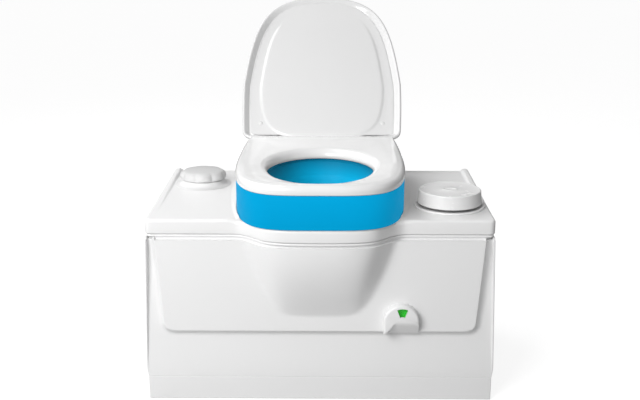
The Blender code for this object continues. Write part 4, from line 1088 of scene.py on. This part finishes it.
def make_filler_neck(finish):
    """The neck stands on a cone that flares out into the bench top."""
    low, foot = NECK_LOW, BENCH_TOP + GAP
    profile = [(NECK_COLLAR, low), (NECK_COLLAR, low + WALL), (NECK_TUBE, low + WALL), (NECK_TUBE, foot)]
    profile += [(radius, foot + rise) for radius, rise in NECK_CONE]
    profile += [(radius, NECK_TOP - drop) for radius, drop in NECK_MOUTH]
    profile += [(NECK_BORE, low)]
    mesh = turned("filler_neck_cone", FILLER, profile, closed=True)
    link("filler_neck_cone", mesh, finish, "filler_neck")


def lobed(radius, depth):
    """The cap's outline: lobes with narrow valleys of this depth between them."""
    points = []
    for i in range(CAP_SIDES):
        angle = 2 * pi * (i + 0.5) / CAP_SIDES
        valley = 1 - abs(sin(CAP_LOBES / 2 * angle + CAP_TURN))
        reach = radius - depth * valley**1.15
        points.append((FILLER[0] + reach * cos(angle), FILLER[1] + reach * sin(angle)))
    return points


def wavy(outline, height, wave):
    """A ring that dips at the valleys between the lobes."""
    ring = []
    for x, y in outline:
        valley = 1 - (Vector((x, y)) - Vector(FILLER)).length / CAP_RADIUS
        ring.append(Vector((x, y, height - wave * min(1, valley / 0.06))))
    return ring


def make_filler_cap(finish):
    """The lobed cap, with a plug inside it that reaches into the neck."""
    low, ceiling = NECK_TOP + 0.0006, CAP_TOP - WALL
    plug, inside = circle(FILLER, CAP_PLUG, CAP_SIDES), circle(FILLER, CAP_INSIDE, CAP_SIDES)
    rings = [placed(plug, NECK_TOP - 0.012), placed(plug, ceiling)]
    rings += [placed(inside, ceiling), placed(inside, low + 0.001)]
    for inset, depth, rise, wave in CAP_WALL:
        rings.append(wavy(lobed(CAP_RADIUS - inset, depth), low + rise, wave))
    for inset, depth, drop in CAP_SHOULDER:
        rings.append(placed(lobed(CAP_RADIUS - inset, depth), CAP_TOP - drop))
    for radius, drop in CAP_CROWN:
        rings.append(placed(circle(FILLER, radius, CAP_SIDES), CAP_TOP - drop))
    mesh = skin("filler_cap_lobed", rings, sharp=50)
    link("filler_cap_lobed", mesh, finish, "filler_cap", "filler_cap")


# Level indicator


def hood_ring(inset, y):
    """The hood's section: an arch over a chin that slopes up to the front, least at its left tip."""
    out = (HOOD_BACK - y) / HOOD_DEPTH
    tip, full = HOOD_TIP_LIFT * out, HOOD_LIFT * out
    radius, low = HOOD_RADIUS - inset, HOOD_LOW + inset
    left, right = HOOD[0] - radius, HOOD[0] + radius
    section = arc(HOOD, radius, 0, pi, 40)
    section += straight((left, HOOD[1]), (left, low + tip), 7)[1:]
    for i in range(25):
        share = i / 24
        lift = mix(tip, full, smooth(share / 0.36))
        section.append((HOOD[0] + radius * (2 * share - 1), low + lift))
    section += straight((right, low + full), (right, HOOD[1]), 7)[1:]
    return placed(section, y, "Y")


def window_outline(inset, drop=0.0):
    """A window that widens upwards between two arcs."""
    high, low = WINDOW_RADII
    centre = (WINDOW[0], WINDOW[1] - high - drop)
    top = arc(centre, high - inset, radians(66), radians(114), 12)
    return top + arc(centre, low + inset, radians(120), radians(60), 6)


def hood_rings(front):
    """The hood from the panel to its face, which closes towards a middle that sees all of its edge."""
    rings = [hood_ring(0, mix(HOOD_BACK, front + HOOD_ROUND, i / 6)) for i in range(7)]
    rings += [hood_ring(inset, front + HOOD_ROUND - rise) for inset, rise in quarter(HOOD_ROUND, 7)[1:]]
    middle = Vector((HOOD[0] - 0.008, front, HOOD[1] + 0.014))
    rings += [[point.lerp(middle, share) for point in rings[-1]] for share in (0.5, 0.97)]
    return rings


def make_hood(finish):
    """The hood, with a window in its face and a round pocket behind it for the flag."""
    front = HOOD_BACK - HOOD_DEPTH
    inner = placed(window_outline(0, 0.006), HOOD_BACK - FLAG_SPACE / 2, "Y")
    window = skin("hole", [inner, placed(window_outline(0, -0.004), front - 0.01, "Y")])
    radius = FLAG_RADIUS + GAP
    ends = [(radius, HOOD_BACK + 0.01), (radius, HOOD_BACK - FLAG_SPACE)]
    pocket = turned("hole", HOOD, ends, axis="Y")
    mesh = cut(skin("hood_shell", hood_rings(front), sharp=45), window, pocket, solver="FAST")
    link("hood_shell", mesh, finish, "indicator_hood")


def make_window(finish):
    """The clear lens, set a little back in the hood's face."""
    front, soft = HOOD_BACK - HOOD_DEPTH, LENS_ROUND
    lens = [placed(window_outline(GAP, 0.0006), front + 0.0024, "Y")]
    for inset, rise in quarter(soft, 2):
        lens.append(placed(window_outline(GAP + inset, -0.0002), front + 0.0008 + soft - rise, "Y"))
    link("window_lens", skin("window_lens", lens), finish, "indicator_window")


def make_flag(finish):
    """The disc behind the window, with a short hub towards the panel."""
    front, back = HOOD_BACK - 0.0024, HOOD_BACK - 0.0008
    profile = [(FLAG_RADIUS - 0.0003, front), (FLAG_RADIUS, front + 0.0003), (FLAG_RADIUS, back)]
    profile += [(FLAG_HUB, back), (FLAG_HUB, HOOD_BACK - GAP)]
    mesh = turned("flag_disc", HOOD, profile, axis="Y")
    link("flag_disc", mesh, finish, "level_flag", "level_flag")


# Pieces that keep their CAD shape


def both_sides(*names):
    """The right and left nodes of these names."""
    return [f"{name}_{side}" for name in names for side in ("right", "left")]


CAD_FINISHES = {
    "shell": ["plinth", "rear_panel", "bowl"] + both_sides("side_panel"),
    "seat": both_sides("hinge_block", "seat_lug", "lid_lug"),
    "mechanism": [
        "knob_gear", "drive_gear", "gear_bracket", "flush_switch", "flush_pump", "flush_nozzle",
        "valve_plate", "valve_blade", "gate_hub", "base_tray",
    ],
    "rubber": ["bowl_seal", "cap_seal", "lip_seal", "spout_seal"] + both_sides("seat_bumper"),
    "tank": ["cassette_base", "cassette_cover", "flush_tank", "pour_spout"],
    "trim": ["spout_cap", "vent_button", "carry_handle", "pull_handle"],
    "steel": ["knob_shaft", "drive_shaft", "wheel_axle", "float_arm"] + both_sides("hinge_pin"),
    "hose": ["flush_hose"],
    "tread": both_sides("wheel"),
    "foam": ["float_ball"],
}
WIDE_EDGES = both_sides("side_panel")
WIDE_EDGES += ["rear_panel", "plinth", "cassette_base", "cassette_cover", "flush_tank"]


def finish_cad_nodes(finishes):
    """Materials and softened edges for the nodes that stay."""
    for finish, names in CAD_FINISHES.items():
        for name in names:
            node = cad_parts[name]
            for slot in node.material_slots:
                slot.material = finishes[finish]
            weld = node.modifiers.new("weld", "WELD")
            weld.merge_threshold = 1e-6
            soften = node.modifiers.new("soften", "BEVEL")
            soften.width = WIDE_EDGE if name in WIDE_EDGES else FINE_EDGE
            soften.segments = 3
            soften.limit_method = "ANGLE"
            soften.angle_limit = radians(40)


# Stage


def make_floor():
    """A pale floor that glows by itself, so that it shows nearly white; its glow lights nothing else."""
    size = FLOOR_SIZE
    mesh = bpy.data.meshes.new("floor")
    corners = [(-size, -size, 0), (size, -size, 0), (size, size, 0), (-size, size, 0)]
    mesh.from_pydata(corners, [], [(0, 1, 2, 3)])
    made, tree, shader = shader_material("studio_floor")
    tone = two_tone(tree, noise(tree, 2), (0.39, 0.39, 0.39), (0.41, 0.41, 0.41))
    tree.links.new(tone, shader.inputs["Base Color"])
    preset(shader, Roughness=0.9, Emission_Color=(1, 1, 1, 1), Emission_Strength=FLOOR_GLOW)
    mesh.materials.append(made)
    floor = bpy.data.objects.new("floor", mesh)
    floor.location.z = -0.0005
    show(floor)
    light_only(floor, "floor")


def make_world():
    """Soft light from all round: stronger from the left, and strongest from the horizon."""
    world = bpy.data.worlds.new("studio")
    world.use_nodes = True
    tree = world.node_tree
    background = tree.nodes["Background"]
    preset(background, Color=(1, 1, 1, 1))
    sides = axes(tree, "Generated")
    product = tree.nodes.new("ShaderNodeMath")
    product.operation = "MULTIPLY"
    for socket, (axis, start, low, high) in zip(product.inputs, WORLD_FADES):
        tree.links.new(remapped(tree, sides[axis], (start, 1), (low, high)), socket)
    tree.links.new(product.outputs[0], background.inputs["Strength"])
    bpy.context.scene.world = world


def area_light(name, place, target, size, power):
    """A rectangular lamp that looks at its target."""
    lamp = bpy.data.lights.new(name, "AREA")
    lamp.shape = "RECTANGLE"
    lamp.size, lamp.size_y = size
    lamp.energy = power
    light = bpy.data.objects.new(name, lamp)
    light.location = place
    light.rotation_mode = "QUATERNION"
    light.rotation_quaternion = (Vector(target) - Vector(place)).to_track_quat("-Z", "Y")
    show(light)
    return light


def light_only(light, *names):
    """The light falls on these objects alone."""
    lit = bpy.data.collections.new("lit_by_" + light.name)
    for name in names:
        lit.objects.link(bpy.data.objects[name])
    light.light_linking.receiver_collection = lit


def make_lights():
    """A large lamp from the left, a weaker one from behind, and two strips from the right for some pieces."""
    area_light("key", (-1.2, -1.9, 1.6), (0, 0, 0.3), (1.3, 1.3), KEY_POWER)
    area_light("top", (-0.9, 0.9, 2.0), (0, 0, 0.4), (1.3, 1.3), TOP_POWER)
    strip = area_light("strip", STRIP_PLACE, STRIP_TARGET, (0.14, 1.6), STRIP_POWER)
    light_only(strip, "bench_top_shell", "seat_ring", "knob_drum", "knob_ring")
    glow = area_light("riser_glow", STRIP_PLACE, STRIP_TARGET, (0.3, 1.6), RISER_GLOW)
    light_only(glow, "seat_riser_collar")


def make_camera():
    """In front of the toilet and above it, looking down at it."""
    lens = bpy.data.cameras.new("camera")
    lens.sensor_width = 36
    lens.lens = FOCAL_LENGTH
    camera = bpy.data.objects.new("camera", lens)
    camera.location = CAMERA_PLACE
    camera.rotation_euler = (pi / 2 - CAMERA_DOWN, 0, CAMERA_TURN)
    show(camera)
    bpy.context.scene.camera = camera
    bpy.context.scene.view_settings.view_transform = "Standard"


def build():
    """The pieces, from the bench up, then the stage."""
    finishes = build_materials()
    make_bench_top(finishes["shell"])
    make_edge_trim(finishes["shell"])
    make_front_panel(finishes["shell"])
    make_riser_collar(finishes["riser"])
    make_riser_funnel(finishes["funnel"])
    make_seat(finishes["seat"])
    make_lid(finishes["seat"])
    make_lid_pads(finishes["seat"])
    make_knob(finishes["knob"])
    make_knob_ring(finishes["shell"])
    make_filler_neck(finishes["shell"])
    make_filler_cap(finishes["cap"])
    make_hood(finishes["shell"])
    make_window(finishes["clear"])
    make_flag(finishes["flag"])
    finish_cad_nodes(finishes)
    make_floor()
    make_world()
    make_lights()
    make_camera()


build()
